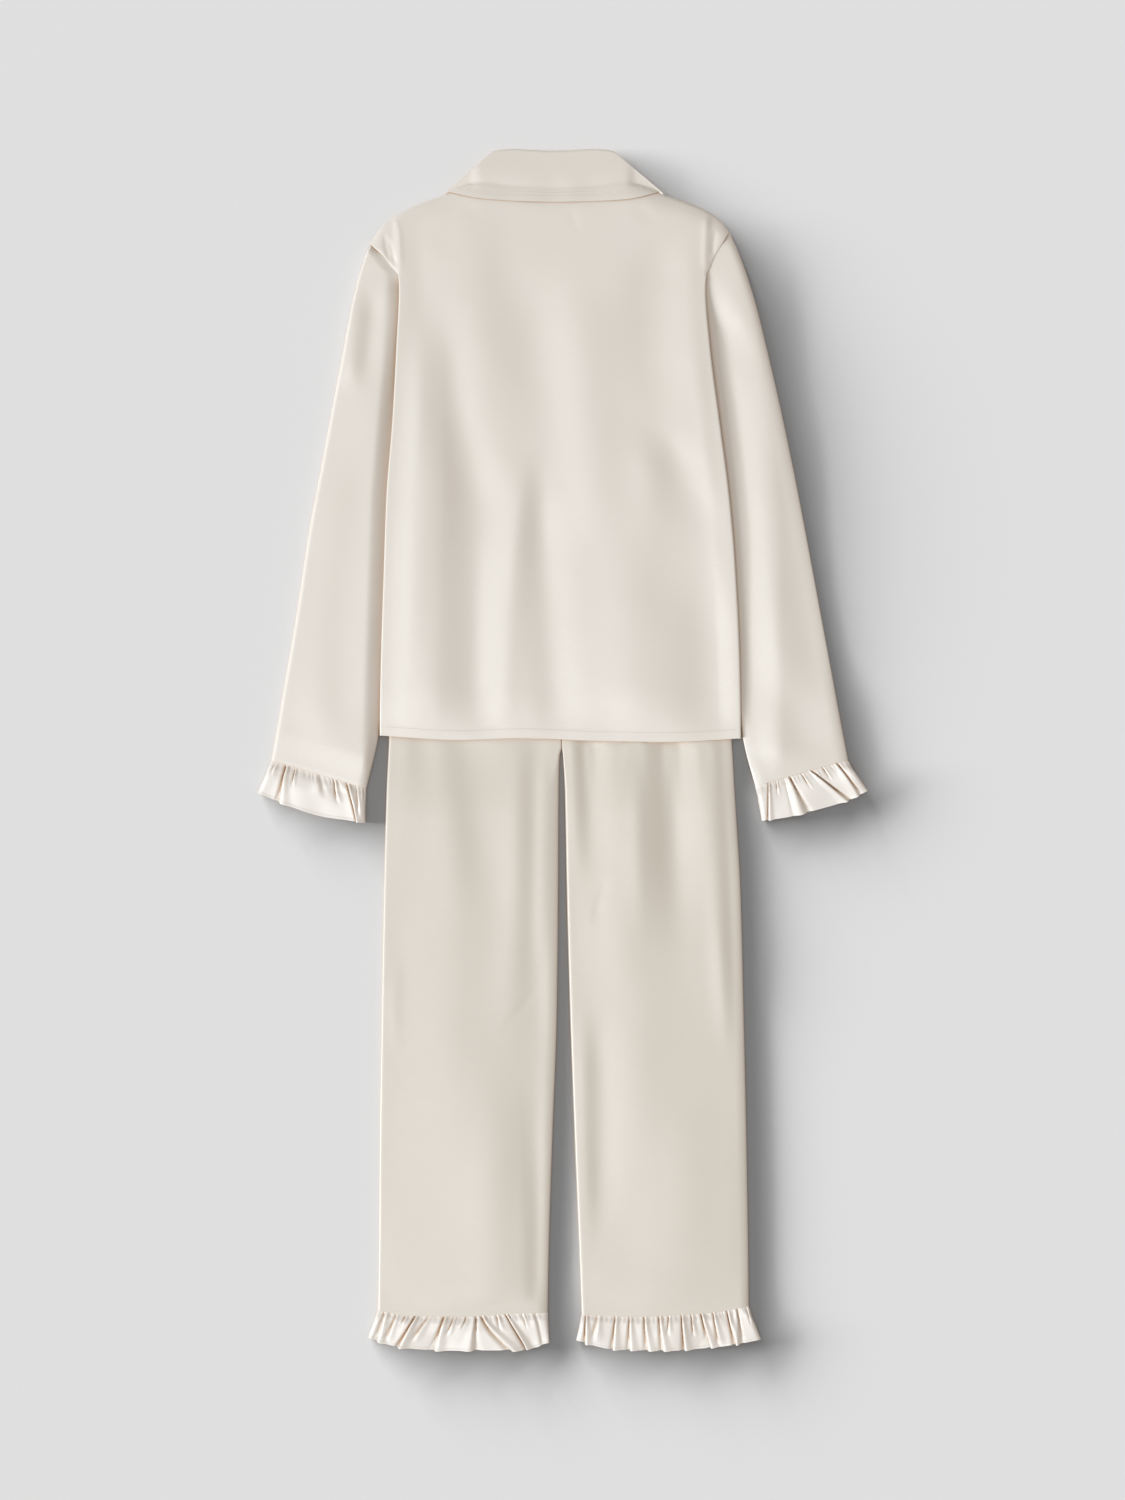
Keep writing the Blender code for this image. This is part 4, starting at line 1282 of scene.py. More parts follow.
@dataclass
class Sleeve:
    """A long sleeve: a flat tube that comes out from under the body's side fold."""

    outline: ShirtOutline
    side: Side
    rows: tuple
    folds: tuple
    pitch: float = 2.8
    crown: float = 8.4
    beside_fold: float = 3.2
    # From a bank beside the body's fold, the sheet falls to a flat floor and climbs to the crown.
    bank: float = 0.0
    valley_floor: float = 0.0
    valley: float = 17.0
    head_rise: float = 14.0
    head_height: float = 6.1
    lean_out: float = 2.6
    cuff_height: float = 5.0
    cuff_fall: float = 34.0
    shoulder_drop: float = 4.4
    crumple: float = 0.25
    head: tuple = (430.0, 505.0)
    length: float = 590.0
    into_armhole: float = 2.4
    inner_reach: float = 10.0
    outer_reach: float = 4.0
    wall: float = 0.7

    def edges(self, v: Array) -> tuple[tuple[Array, Array], tuple[Array, Array], Array]:
        """Inner and outer edges, and how far a row bends with the armhole.

        Args:
            v: share down from the armhole to the cuff.

        Returns:
            The inner edge, the outer edge and the bend.
        """
        outer_x, outer_y, inner_x, inner_y, bend = (curve(v) for curve in path_curves(self.rows))
        return (inner_x, inner_y), (outer_x, outer_y), bend

    def crest(self, x: Array, y: Array) -> Array:
        """Height of the upper sheet.

        Args:
            x: places across.
            y: places along.

        Returns:
            Height at each place, low beside the body's fold.
        """
        out = (x - self.outline.side_x(self.side, y)) * self.side.value
        head = ramp(*self.head, y)
        floor = self.valley_floor * (1.0 - ramp(400, 500, y)) * (0.55 + 0.45 * ramp(90, 260, y)) + 0.01
        free = ramp(floor, floor + self.valley, out)
        shoulder = self.outline.armhole(self.side)[0][1]
        at_head = self.head_height - self.shoulder_drop * ramp(shoulder - 17, shoulder + 1, y)
        # Without a bank, the sheet keeps low until just short of the head.
        to_head = head if self.bank else ramp(478, 496, y)
        low = mix(self.beside_fold, at_head, to_head)
        level = mix(low, self.crown, mix(free, ramp(0, self.head_rise, out), head))
        level = np.minimum(level, low + 0.6 * np.maximum(out, 0.0) + 10.0 * (1.0 - ramp(490, 500, y)))
        tall = ramp(40, 220, y) * 0.6 + 0.4 * ramp(10, 40, y)
        level = level + self.bank * (1.0 - ramp(0, floor + 1.0, out)) * tall * (1.0 - head)
        # The whole sheet leans down away from the body.
        level = level - self.lean_out * (ramp(10, 90, out) - 0.2)
        level = level + folded(self.folds, x, y) * ramp(0, 14, out)
        level = level + self.crumple * slow_waves(x, y, 31 + self.side.value, 50, 170, 3.0) * free
        (ix, iy), (ox, oy), _ = self.edges(np.array(1.0))
        run = math.hypot(float(ox - ix), float(oy - iy))
        above_cuff = np.abs((x - ix) * (oy - iy) - (y - iy) * (ox - ix)) / run
        free_of_cuff = 0.85 * ramp(0, self.cuff_fall, above_cuff) + 0.15 * ramp(0, 5, above_cuff)
        return mix(self.cuff_height, level, free_of_cuff)

    def grid(self) -> Array:
        """Points of the tube.

        Returns:
            Rows from the armhole to the cuff, columns that close round.
        """
        v = spread(self.length, self.pitch, ((0, 12, 1.5), (580, self.length, 1.6)))[:, None]
        first, second, bend = self.edges(v)
        tube = FlatTube()
        ring = tube.ring(first, second, self.crest, (self.inner_reach, self.outer_reach), self.pitch)
        armhole = self.outline.armhole(self.side)
        width = np.hypot(second[0] - first[0], second[1] - first[1])
        t = np.hypot(ring[..., 0] - first[0], ring[..., 1] - first[1]) / width
        curve_x, curve_y = (curve(1.0 - t) for curve in path_curves(armhole))
        straight_x = mix(armhole[-1][0], armhole[0][0], t)
        straight_y = mix(armhole[-1][1], armhole[0][1], t)
        bowed = ring.copy()
        inward = self.into_armhole * self.side.value * (1.0 - ramp(0.78, 0.97, t))
        bowed[..., 0] += (curve_x - straight_x - inward) * bend
        bowed[..., 1] += (curve_y - straight_y + 0.4) * bend
        lift = self.crest(bowed[..., 0], bowed[..., 1]) - self.crest(ring[..., 0], ring[..., 1])
        bowed[..., 2] += lift * bend * (ring[..., 2] > tube.middle)
        return bowed

    def build(self, satin: bpy.types.Material) -> None:
        """Lays the sleeve.

        Args:
            satin: the cloth's material.
        """
        name = f"sleeve_{self.side.word}"
        cut = Cut(f"shirt_{name}", (name,), (0.30, 0.60), Held.LAID, (), 0.115)
        lay(cut, self.grid(), satin, self.wall, ring=True)


# outer edge's X and Y, inner edge's X and Y, share of the armhole's bend
SLEEVE_LEFT_ROWS = (
    (-199, 528, -147, 352, 1.0),
    (-208, 504, -148, 346, 0.6),
    (-218, 466, -149, 339, 0.3),
    (-228, 414, -150.5, 329, 0.1),
    (-238, 362, -153.5, 311, 0.0),
    (-251, 292, -161, 255, 0.0),
    (-263, 229, -168.5, 196, 0.0),
    (-276.5, 140, -179, 112, 0.0),
    (-288, 73, -186, 46, 0.0),
    (-295, 32, -194, 2, 0.0),
    (-302.5, -11, -204.2, -40, 0.0),
)
SLEEVE_RIGHT_ROWS = (
    (173, 539, 133, 352, 1.0),
    (186, 509, 135, 346, 0.6),
    (200, 466, 136.5, 339, 0.3),
    (213, 414, 138.5, 329, 0.1),
    (225, 362, 142, 311, 0.0),
    (240, 291, 151.5, 255, 0.0),
    (252, 229, 161, 196, 0.0),
    (268.5, 140, 173.5, 112, 0.0),
    (281, 73, 182, 46, 0.0),
    (288.5, 32, 189.5, 4, 0.0),
    (296.5, -10, 200.5, -37.5, 0.0),
)
SLEEVE_LEFT_FOLDS = (
    Fold(Form.FALL, ((-205, 474, 8), (-209, 430, 10), (-213, 376, 9)), 1.5, 30, 30),
    Fold(Form.FALL, ((-222, 330, 20), (-230, 200, 22), (-240, 90, 20), (-240, 10, 18)), 0.8, 90, 40),
)
SLEEVE_RIGHT_FOLDS = (
    Fold(Form.RIDGE, ((180, 430, 12), (194, 330, 13), (208, 220, 14), (218, 100, 14)), 0.8, 60, 60),
    Fold(Form.FALL, ((214, 330, 16), (230, 200, 20), (250, 60, 22)), 1.3, 80, 50),
    Fold(Form.FALL, ((226, 60, 18), (236, -10, 18)), 0.8, 40, 20),
)


# ---- trousers ----


@dataclass
class TrouserLeg:
    """One trouser leg: a flat tube from the waist seam to the gathered hem."""

    side: Side
    ends: tuple
    folds: tuple
    pitch: float = 2.9
    crown: float = 5.6
    under_shirt: float = 3.0
    hem_height: float = 4.8
    lean: float = 3.4
    edge_low: float = 3.2
    waist_seam: float = 206.0
    hem_fall: float = 40.0
    most_wave: float = 1.6
    crumple: float = 0.25
    calm_edge: float = 0.12
    shirt_hem: tuple = (-70.0, 6.0)
    length: float = 794.0
    crotch_radius: float = 10.0
    inner_radius: float = 1.2
    left_radius: float = 2.2
    right_radius: float = 9.0
    middle: float = 1.4
    wall: float = 0.7
    # y, outer left, inner left, inner right, outer right
    rows: tuple = (
        (-590, -192, -15.7, 20, 193.5),
        (-520, -191, -14.5, 17.5, 192.8),
        (-396, -190, -10.5, 12.5, 190.8),
        (-270, -188, -6, 8, 188),
        (-146, -185.6, -4.7, 4.7, 184.8),
        (-40, -182.5, -4.2, 2.6, 178.5),
        (-6, -180.8, -3.2, 0.8, 176.6),
        (4, -180.3, -0.7, -0.2, 176),
        (60, -178.5, -0.7, -0.2, 174),
        (130, -169, -0.7, -0.2, 164),
        (180, -152, -0.7, -0.2, 148),
        (206, -140, -0.7, -0.2, 136),
    )

    def hem_y(self, t: Array) -> Array:
        """The hem seam's line, t across from the leg's -X edge."""
        return table_curves(self.ends)[0](t)

    def edge_x(self, y: Array) -> tuple[Array, Array]:
        """X of the leg's two edges, -X one first."""
        outer_left, inner_left, inner_right, outer_right = (curve(y) for curve in table_curves(self.rows))
        return (outer_left, inner_left) if self.side is Side.LEFT else (inner_right, outer_right)

    def crest(self, x: Array, y: Array) -> Array:
        """Height of the upper sheet.

        Args:
            x: places across.
            y: places along.

        Returns:
            Height at each place.
        """
        first, second = self.edge_x(y)
        t = np.clip((x - first) / (second - first), 0.0, 1.0)
        inside = ramp(0, self.calm_edge, t) * ramp(0, self.calm_edge, 1 - t)
        clear_of_shirt = 1.0 - ramp(*self.shirt_hem, y)
        level = self.crown - self.lean * (t - 0.5) - self.edge_low * (1.0 - ramp(-0.05, 0.45, t))
        waves = folded(self.folds, x, y) * inside
        level = level + waves
        level = level + self.crumple * slow_waves(x, y, 51 + self.side.value, 55, 180, 3.5) * inside
        above_hem = y - self.hem_y(t)
        free_of_hem = 0.8 * ramp(0, self.hem_fall, above_hem) + 0.2 * ramp(0, 5, above_hem)
        level = mix(self.hem_height, level, free_of_hem)
        pressed = np.clip(waves * (1 - ramp(14, 50, y)), -self.most_wave, self.most_wave)
        return mix(self.under_shirt + pressed, level, clear_of_shirt)

    def grid(self) -> Array:
        """Points of the tube.

        Returns:
            Rows from the hem up, columns that close round.
        """
        v = spread(self.length, self.pitch, ((0, 12, 1.6),))[:, None]
        first_y = mix(self.ends[0][1], self.waist_seam, v)
        second_y = mix(self.ends[-1][1], self.waist_seam, v)
        first_x, second_x = self.edge_x(first_y)[0], self.edge_x(second_y)[1]
        closing = 1.0 - ramp(-46, -1, first_y)
        inner = self.inner_radius + self.crotch_radius * closing
        outer = (self.left_radius if self.side is Side.LEFT else self.right_radius) + 0 * v
        radii = (outer, inner) if self.side is Side.LEFT else (0.2 * inner, outer)
        first, second = (first_x, first_y), (second_x, second_y)
        ring = FlatTube(middle=self.middle).ring(first, second, self.crest, radii, self.pitch)
        t = (ring[..., 0] - first_x) / (second_x - first_x)
        sag = self.hem_y(t) - mix(self.ends[0][1], self.ends[-1][1], t)
        ring[..., 1] += sag * (1.0 - v) ** 3
        return ring

    def build(self, satin: bpy.types.Material) -> None:
        """Lays the leg.

        Args:
            satin: the cloth's material.
        """
        word = self.side.word
        panels = (f"leg_back_{word}", f"leg_front_{word}")
        cut = Cut(f"trouser_leg_{word}", panels, (0.38, 0.80), Held.LAID, (), 0.29)
        lay(cut, self.grid(), satin, self.wall, ring=True)


# share across from the -X edge, Y of the hem seam
LEG_LEFT_ENDS = ((0.0, -582.5), (0.2, -587.5), (0.5, -588.5), (0.8, -585.5), (1.0, -584.5))
LEG_RIGHT_ENDS = ((0.0, -586.5), (0.35, -588.5), (0.6, -586.5), (0.8, -584), (1.0, -577.5))
LEG_LEFT_FOLDS = (
    Fold(Form.FALL, ((-154, 20, 12), (-152, -60, 14)), 0.5, 20, 70),
    Fold(Form.FALL, ((-118, 20, 14), (-106, -70, 16), (-92, -190, 20)), 0.6, 20, 120),
    Fold(Form.RISE, ((-76, 20, 16), (-66, -70, 18), (-60, -180, 20)), 0.4, 20, 90),
    Fold(Form.FALL, ((-36, 20, 10), (-38, -160, 12), (-42, -320, 18)), 0.8, 60, 110),
    Fold(Form.FALL, ((-46, -330, 26), (-42, -480, 28), (-38, -575, 28)), 1.7, 140, 10, -0.2),
    Fold(Form.FALL, ((-24, -420, 12), (-24, -575, 14)), 0.8, 80, 10),
    Fold(Form.RIDGE, ((-18, -10, 9), (-20, -240, 10)), 0.9, 30, 80),
    Fold(Form.TROUGH, ((-28, -246, 5), (-44, -270, 7), (-62, -292, 5)), 0.4, 20, 20),
    Fold(Form.RISE, ((-108, -300, 30), (-100, -420, 34), (-94, -560, 34)), 0.4, 90, 50),
    Fold(Form.RIDGE, ((-174, -220, 8), (-178, -264, 9), (-174, -310, 8)), 0.7, 40, 40),
)
LEG_RIGHT_FOLDS = (
    Fold(Form.FALL, ((14, 20, 13), (16, -40, 14), (20, -130, 14)), 2.3, 20, 90),
    Fold(Form.RIDGE, ((50, 20, 14), (56, -120, 18), (62, -260, 22)), 1.1, 20, 90),
    Fold(Form.FALL, ((86, 20, 13), (88, -90, 15), (92, -190, 16)), 1.9, 20, 100, 0.15),
    Fold(Form.FALL, ((104, 20, 13), (106, -90, 15), (108, -190, 16)), 1.7, 20, 100),
    Fold(Form.RIDGE, ((138, 20, 14), (140, -140, 18), (146, -260, 22)), 0.9, 20, 90),
    Fold(Form.FALL, ((166, 20, 15), (172, -140, 12), (178, -300, 8)), 1.7, 20, 110),
    Fold(Form.FALL, ((27, -270, 13), (28, -390, 15), (29, -500, 13)), 1.3, 70, 70),
    Fold(Form.TROUGH, ((46, -134, 5), (38, -160, 5), (34, -180, 5)), 0.5, 15, 15),
    Fold(Form.RISE, ((86, -330, 36), (100, -480, 38), (108, -560, 38)), 0.9, 110, 50),
)


@dataclass
class Waistband:
    """Elastic casing at the top of the trousers, under the shirt."""

    left: float = -140.0
    right: float = 136.0
    low: float = 204.0
    high: float = 236.0
    height: float = 2.7
    gather_pitch: float = 6.5
    gather_depth: float = 0.45
    edge_radius: float = 1.4
    pitch: float = 1.6
    wall: float = 0.7

    def crest(self, x: Array, y: Array) -> Array:
        """Height of the upper sheet, gathered by the elastic.

        Args:
            x: places across.
            y: places along.

        Returns:
            Height at each place.
        """
        across = 2 * math.pi * x / self.gather_pitch + 0.8 * np.sin(x / 11.0)
        casing = 1 - ramp(self.high - 6, self.high, y) - (1 - ramp(self.low, self.low + 5, y))
        return self.height - self.gather_depth * casing * (0.5 + 0.5 * np.sin(across))

    def build(self, satin: bpy.types.Material) -> None:
        """Lays the waistband.

        Args:
            satin: the cloth's material.
        """
        y = mix(self.low, self.high, spread(self.high - self.low, self.pitch))[:, None]
        first, second = (self.left + 0 * y, y), (self.right + 0 * y, y)
        tube = FlatTube(middle=1.5, floor=0.5, low_radius=1.2)
        ring = tube.ring(first, second, self.crest, (self.edge_radius,) * 2, self.pitch)
        size, under = (0.84, 0.07), ("shirt_front_left",)
        cut = Cut("trouser_waistband", ("waistband",), size, Held.GATHERED, under, 0.02)
        lay(cut, ring, satin, self.wall, ring=True)


@dataclass(frozen=True)
class Gather:
    """One fold line of a ruffle: a groove, and a ridge beside it that leans over it.

    seam_at and edge_at are shares across from the -X end. The ridge stands on the +X side of the
    groove when side is 1, and on the -X side when it is -1. reach is how far down the line runs.
    """

    seam_at: float
    edge_at: float
    width: float
    depth: float
    reach: float = 1.2
    side: int = 1
    lap: float = 1.0


@dataclass
class Ruffle:
    """A gathered ring of satin sewn to a hem."""

    name: str
    seam: Callable[[Array], tuple[Array, Array]]
    free_edge: tuple
    gathers: tuple
    flat: tuple[float, float]
    rests_on: tuple[str, ...]
    crown: float = 5.8
    seam_height: float = 4.3
    tuck_in: float = 2.0
    hem_band: float = 2.2
    pitch: float = 0.85
    billow: float = 1.2
    flare: float = 1.35
    edge_drop: float = 2.4
    lowest: float = 1.9
    # shares of a gather's depth: its groove and the ridge that leans over it
    groove: float = 0.85
    ridge: float = 0.55
    crimp: float = 0.3
    crimp_pitch: float = 6.1
    ripple: float = 0.55
    depth: float = 35.0
    middle: float = 1.7
    floor: float = 0.45
    wall: float = 0.6
    hem_thicker: float = 0.35
    seed: int = 7

    @property
    def width(self) -> float:
        """Distance between the free edge's ends."""
        return float(np.hypot(*(np.array(self.free_edge[-1]) - np.array(self.free_edge[0]))))

    @property
    def columns(self) -> int:
        """Points across the upper sheet."""
        return int(self.width / self.pitch)

    def top(self, t: Array, v: Array) -> Array:
        """Upper sheet of the ring.

        Args:
            t: share across from the -X end.
            v: share down from the seam to the free edge.

        Returns:
            Points in millimetres.
        """
        start_x, start_y = self.seam(t)
        end_x, end_y = (curve(t) for curve in path_curves(self.free_edge))
        width = self.width
        base = self.seam_height + (self.crown - self.seam_height) * ramp(0.0, 0.22, v)
        base = base - self.edge_drop * ramp(0.35, 1.0, v)
        z = base + self.billow * slow_waves(t * width, v * 30, self.seed, 26, 60, 1.5) * ramp(0, 0.3, v)
        shift = np.zeros(np.broadcast(t, v).shape)
        edge_lift = np.zeros_like(shift)
        for gather in self.gathers:
            centre = mix(gather.seam_at, gather.edge_at, v)
            spreading = gather.width * mix(0.5, self.flare, np.clip(v, 0, 1))
            off = (t - centre) * width
            held = ramp(-0.1, 0.1, v) * (1.0 - ramp(gather.reach - 0.35, gather.reach, v))
            groove = np.exp(-((off / spreading) ** 2))
            ridge_off = (off - gather.side * 1.7 * spreading) / (1.35 * spreading)
            ridge = np.exp(-(ridge_off**2))
            z = z + held * gather.depth * (self.ridge * ridge - self.groove * groove)
            shift = shift - held * gather.side * gather.lap * 0.85 * spreading * ridge
            edge_lift = edge_lift + held * gather.depth * (0.3 * ridge - 0.35 * groove)
        crimp = np.sin(t * width * 2 * math.pi / self.crimp_pitch + 2.1 * np.sin(t * 29.0))
        crimp = crimp * (1 - ramp(0.02, 0.26, v))
        z = z + self.crimp * crimp * ramp(0.0, 0.06, v)
        z = np.maximum(z, self.lowest + 0.25 * ramp(0.4, 1.0, v) * np.sin(t * width / 5.0))
        unit_x = (end_x[..., -1] - end_x[..., 0])[..., None] / width
        unit_y = (end_y[..., -1] - end_y[..., 0])[..., None] / width
        down = np.clip(v, 0, 1)
        x = mix(start_x, end_x, v) + shift * unit_x * ramp(0, 0.3, down)
        y = mix(start_y, end_y, v) + shift * unit_y * ramp(0, 0.3, down)
        y = y - 1.1 * edge_lift * ramp(0.5, 1.0, down)
        return np.stack([x, y, z], -1)

    def grid(self) -> Array:
        """Points of the ring.

        Returns:
            Rows from inside the hem to the free edge, columns that close round.
        """
        v = spread(self.depth, 1.0, ((self.depth - 5, self.depth, 0.5),))[:, None]
        v = np.concatenate([[[-self.tuck_in / self.depth]], v])
        width, middle = self.width, self.middle
        t = np.linspace(0.0, 1.0, self.columns)[None, :]
        upper = self.top(t, v)
        reach = mix(12.0, 5.0, ramp(0.0, 0.3, v))
        ends = rounded(t * width, reach) * rounded((1.0 - t) * width, reach)
        upper[..., 2] = middle + (upper[..., 2] - middle) * ends
        t = np.linspace(1.0, 0.0, int(width / self.pitch / 2.2))[None, 1:-1]
        start_x, start_y = self.seam(t)
        end_x, end_y = (curve(t) for curve in path_curves(self.free_edge))
        ends = rounded(t * width, 3.0) * rounded((1.0 - t) * width, 3.0)
        ripple = 0.5 - 0.5 * np.cos(t * width / 2.6 + 2.0 * np.sin(t * 17.0))
        ripple = self.ripple * ripple * ramp(0, 0.5, v)
        low = middle + (self.floor + ripple - middle) * ends
        x, y = mix(start_x, end_x, v), mix(start_y, end_y, v)
        lower = np.stack([x, y + 0.6 * ripple, low + 0 * x], -1)
        return np.concatenate([upper, lower], 1)

    def build(self, satin: bpy.types.Material, thread: bpy.types.Material) -> None:
        """Lays the ruffle and sews its narrow hem.

        Args:
            satin: the cloth's material.
            thread: the stitches' material.
        """
        grid = self.grid()
        depth = arc_lengths(grid, 0)
        from_edge = (depth[-1] - depth)[:, None]
        in_hem = 1 - ramp(self.hem_band - 0.5, self.hem_band + 0.5, from_edge)
        wall = self.wall + self.hem_thicker * in_hem
        cut = Cut(self.name + "_ring", (self.name,), self.flat, Held.GATHERED, self.rests_on, self.area())
        lay(cut, grid, satin, wall + 0 * grid[..., 0], ring=True)
        row = int(np.argmin(np.abs(from_edge[:, 0] - self.hem_band - 0.4)))
        across = slice(4, self.columns - 4)
        up = grid_normals(grid, True)[row, across]
        stitch = Topstitch(f"stitches_{self.name}", length=1.9, radius=0.12)
        stitch.sew(grid[row, across] + up * 0.27, up, thread)

    def area(self) -> float:
        """Flat area of the cut in square metres."""
        return self.flat[0] * self.flat[1]


CUFF_LEFT_GATHERS = (
    Gather(0.05, 0.03, 2.2, 2.0, 0.45),
    Gather(0.155, 0.215, 2.4, 3.6, 1.4, 1, 1.1),
    Gather(0.255, 0.30, 1.3, 2.2, 0.55),
    Gather(0.52, 0.56, 4.5, 1.3, 0.6, -1, 0.2),
    Gather(0.66, 0.64, 2.2, 2.4, 0.65),
    Gather(0.80, 0.855, 2.6, 3.6, 1.4, 1, 1.1),
    Gather(0.90, 0.91, 2.0, 1.4, 1.0, 1, 0.4),
    Gather(0.975, 0.98, 1.4, 1.6, 0.5, -1, 0.5),
)
CUFF_RIGHT_GATHERS = (
    Gather(0.136, 0.067, 1.5, 2.6, 1.3, 1, 0.9),
    Gather(0.225, 0.19, 1.3, 1.8, 0.45),
    Gather(0.367, 0.403, 2.2, 3.2, 1.4, -1, 1.0),
    Gather(0.497, 0.52, 1.4, 1.8, 0.5),
    Gather(0.604, 0.744, 1.8, 3.6, 1.4, -1, 1.2),
    Gather(0.728, 0.70, 1.5, 2.0, 0.42),
    Gather(0.882, 0.888, 2.4, 2.8, 1.2, -1, 0.9),
    Gather(0.985, 0.94, 1.6, 1.6, 0.5),
    Gather(0.31, 0.31, 1.4, 0.8, 1.2, 1, 0.3),
)
LEG_LEFT_GATHERS = (
    Gather(0.04, 0.06, 3.0, 2.6, 1.3, 1, 0.7),
    Gather(0.11, 0.12, 2.4, 2.4, 1.0),
    Gather(0.166, 0.16, 1.6, 2.0, 0.4),
    Gather(0.222, 0.212, 2.4, 3.8, 1.4, 1, 1.1),
    Gather(0.30, 0.27, 2.8, 2.2, 0.85),
    Gather(0.392, 0.433, 2.6, 3.8, 1.4, 1, 1.1),
    Gather(0.452, 0.47, 1.8, 2.4, 0.6),
    Gather(0.52, 0.53, 1.6, 2.0, 0.4, -1, 0.7),
    Gather(0.578, 0.598, 2.0, 2.8, 1.3, -1, 0.9),
    Gather(0.61, 0.709, 2.4, 3.8, 1.4, 1, 1.1),
    Gather(0.70, 0.69, 1.8, 2.0, 0.5),
    Gather(0.753, 0.80, 2.0, 3.4, 1.4, 1, 1.1),
    Gather(0.775, 0.79, 1.3, 1.4, 0.3),
    Gather(0.852, 0.86, 1.8, 1.8, 0.5),
    Gather(0.93, 0.94, 3.5, 1.2, 1.2, -1, 0.4),
)
LEG_RIGHT_GATHERS = (
    Gather(0.025, 0.055, 1.8, 3.4, 1.4, 1, 1.1),
    Gather(0.097, 0.10, 3.0, 2.6, 0.9, 1, 0.7),
    Gather(0.202, 0.227, 2.0, 3.0, 1.4, 1, 1.0),
    Gather(0.286, 0.319, 2.0, 3.0, 1.4, 1, 1.0),
    Gather(0.374, 0.407, 2.0, 3.0, 1.4, 1, 1.0),
    Gather(0.462, 0.48, 2.0, 2.8, 1.3, 1, 0.9),
    Gather(0.521, 0.50, 1.8, 2.2, 0.6),
    Gather(0.597, 0.587, 1.8, 3.4, 1.4, 1, 1.1),
    Gather(0.655, 0.64, 1.5, 2.4, 0.7, 1, 1.0),
    Gather(0.714, 0.717, 1.9, 3.4, 1.4, 1, 1.1),
    Gather(0.786, 0.765, 1.8, 2.8, 1.05, 1, 1.0),
    Gather(0.845, 0.84, 1.3, 1.4, 0.3),
    Gather(0.87, 0.851, 1.8, 3.4, 1.4, 1, 1.1),
    Gather(0.929, 0.889, 2.0, 2.4, 1.2, -1, 0.8),
    Gather(0.985, 0.975, 1.6, 1.8, 0.6),
)


# ---- buttons ----


@dataclass
class ShirtButton:
    """Four-hole shirt button under the lower front, its face to the floor."""

    index: int
    centre: Callable[[Array], Array]
    top_button: float = 462.0
    button_pitch: float = 92.0
    radius: float = 6.0
    thickness: float = 1.5
    over_trousers: float = 3.4
    waist_top: float = 236.0
    hole_at: float = 1.25
    hole_radius: float = 0.75
    hole_depth: float = 0.7
    dish: float = 0.45
    rim_rounding: float = 0.3
    sides: int = 56

    def face(self, x: Array, y: Array) -> Array:
        """Depth of the face below its rim: a dished middle with four thread holes.

        Args:
            x: places across from the button's centre.
            y: places along.

        Returns:
            Depth at each place.
        """
        r = np.hypot(x, y)
        dish = self.dish * (1 - ramp(3.2, 4.3, r)) + self.rim_rounding * ramp(5.3, 6.0, r)
        for sx, sy in ((1, 1), (1, -1), (-1, 1), (-1, -1)):
            away = np.hypot(x - sx * self.hole_at, y - sy * self.hole_at)
            dish = dish + self.hole_depth * (1 - ramp(self.hole_radius - 0.2, self.hole_radius + 0.1, away))
        return np.minimum(dish, self.thickness - 0.3)

    def build(self, resin: bpy.types.Material) -> None:
        """Makes the button from rings of points, face and back joined at the rim.

        Args:
            resin: the button's material.
        """
        y = self.top_button - self.button_pitch * self.index
        low = self.over_trousers if y < self.waist_top else 0.0
        radii = np.concatenate([np.linspace(0.15, 2.9, 16), np.linspace(3.1, self.radius, 14)])
        around = np.linspace(0.0, 2 * math.pi, self.sides, endpoint=False)
        ring_x, ring_y = radii[:, None] * np.cos(around), radii[:, None] * np.sin(around)
        face = np.stack([ring_x, ring_y, low + self.face(ring_x, ring_y)], -1)
        edge = 0.25 * ramp(5.2, 6.0, radii)[:, None] + 0 * ring_x
        rear = np.stack([ring_x, ring_y, low + self.thickness - edge], -1)[::-1]
        grid = np.concatenate([face, rear])
        faces = rod_faces(*grid.shape[:2], turned=True)
        points = grid.reshape(-1, 3) + np.array([float(self.centre(y)), y, 0.0])
        name = f"button_{self.index + 1}"
        mesh = bpy.data.meshes.new(f"shirt_{name}")
        mesh.from_pydata((points * MM).tolist(), [], faces)
        mesh.shade_smooth()
        mesh.set_sharp_from_angle(angle=math.radians(BUTTON_SHARP))
        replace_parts(dress(in_scene(mesh), resin), name)
        LOG.info("shirt_%s at y %.0f", name, y)


# ---- studio ----


@dataclass(frozen=True)
class SoftLight:
    """A far, broad studio light: where it stands round and above the garment, and how wide it looks."""

    name: str
    round_from_left: float
    above: float
    width: float
    strength: float
    colour: str = "#FFFFFF"

    def build(self, lit: bpy.types.Collection) -> None:
        """Hangs the light.

        Args:
            lit: what the light is flagged to reach; everything still casts shadows from it.
        """
        lamp = bpy.data.lights.new(self.name, "SUN")
        lamp.energy = self.strength
        lamp.angle = math.radians(self.width)
        lamp.color = linear(self.colour)[:3]
        obj = bpy.data.objects.new(self.name, lamp)
        turn, up = math.radians(self.round_from_left), math.radians(self.above)
        away = Vector((-math.cos(turn) * math.cos(up), math.sin(turn) * math.cos(up), math.sin(up)))
        obj.rotation_euler = (-away).to_track_quat("-Z", "Y").to_euler()
        obj.light_linking.receiver_collection = lit
        bpy.context.scene.collection.objects.link(obj)


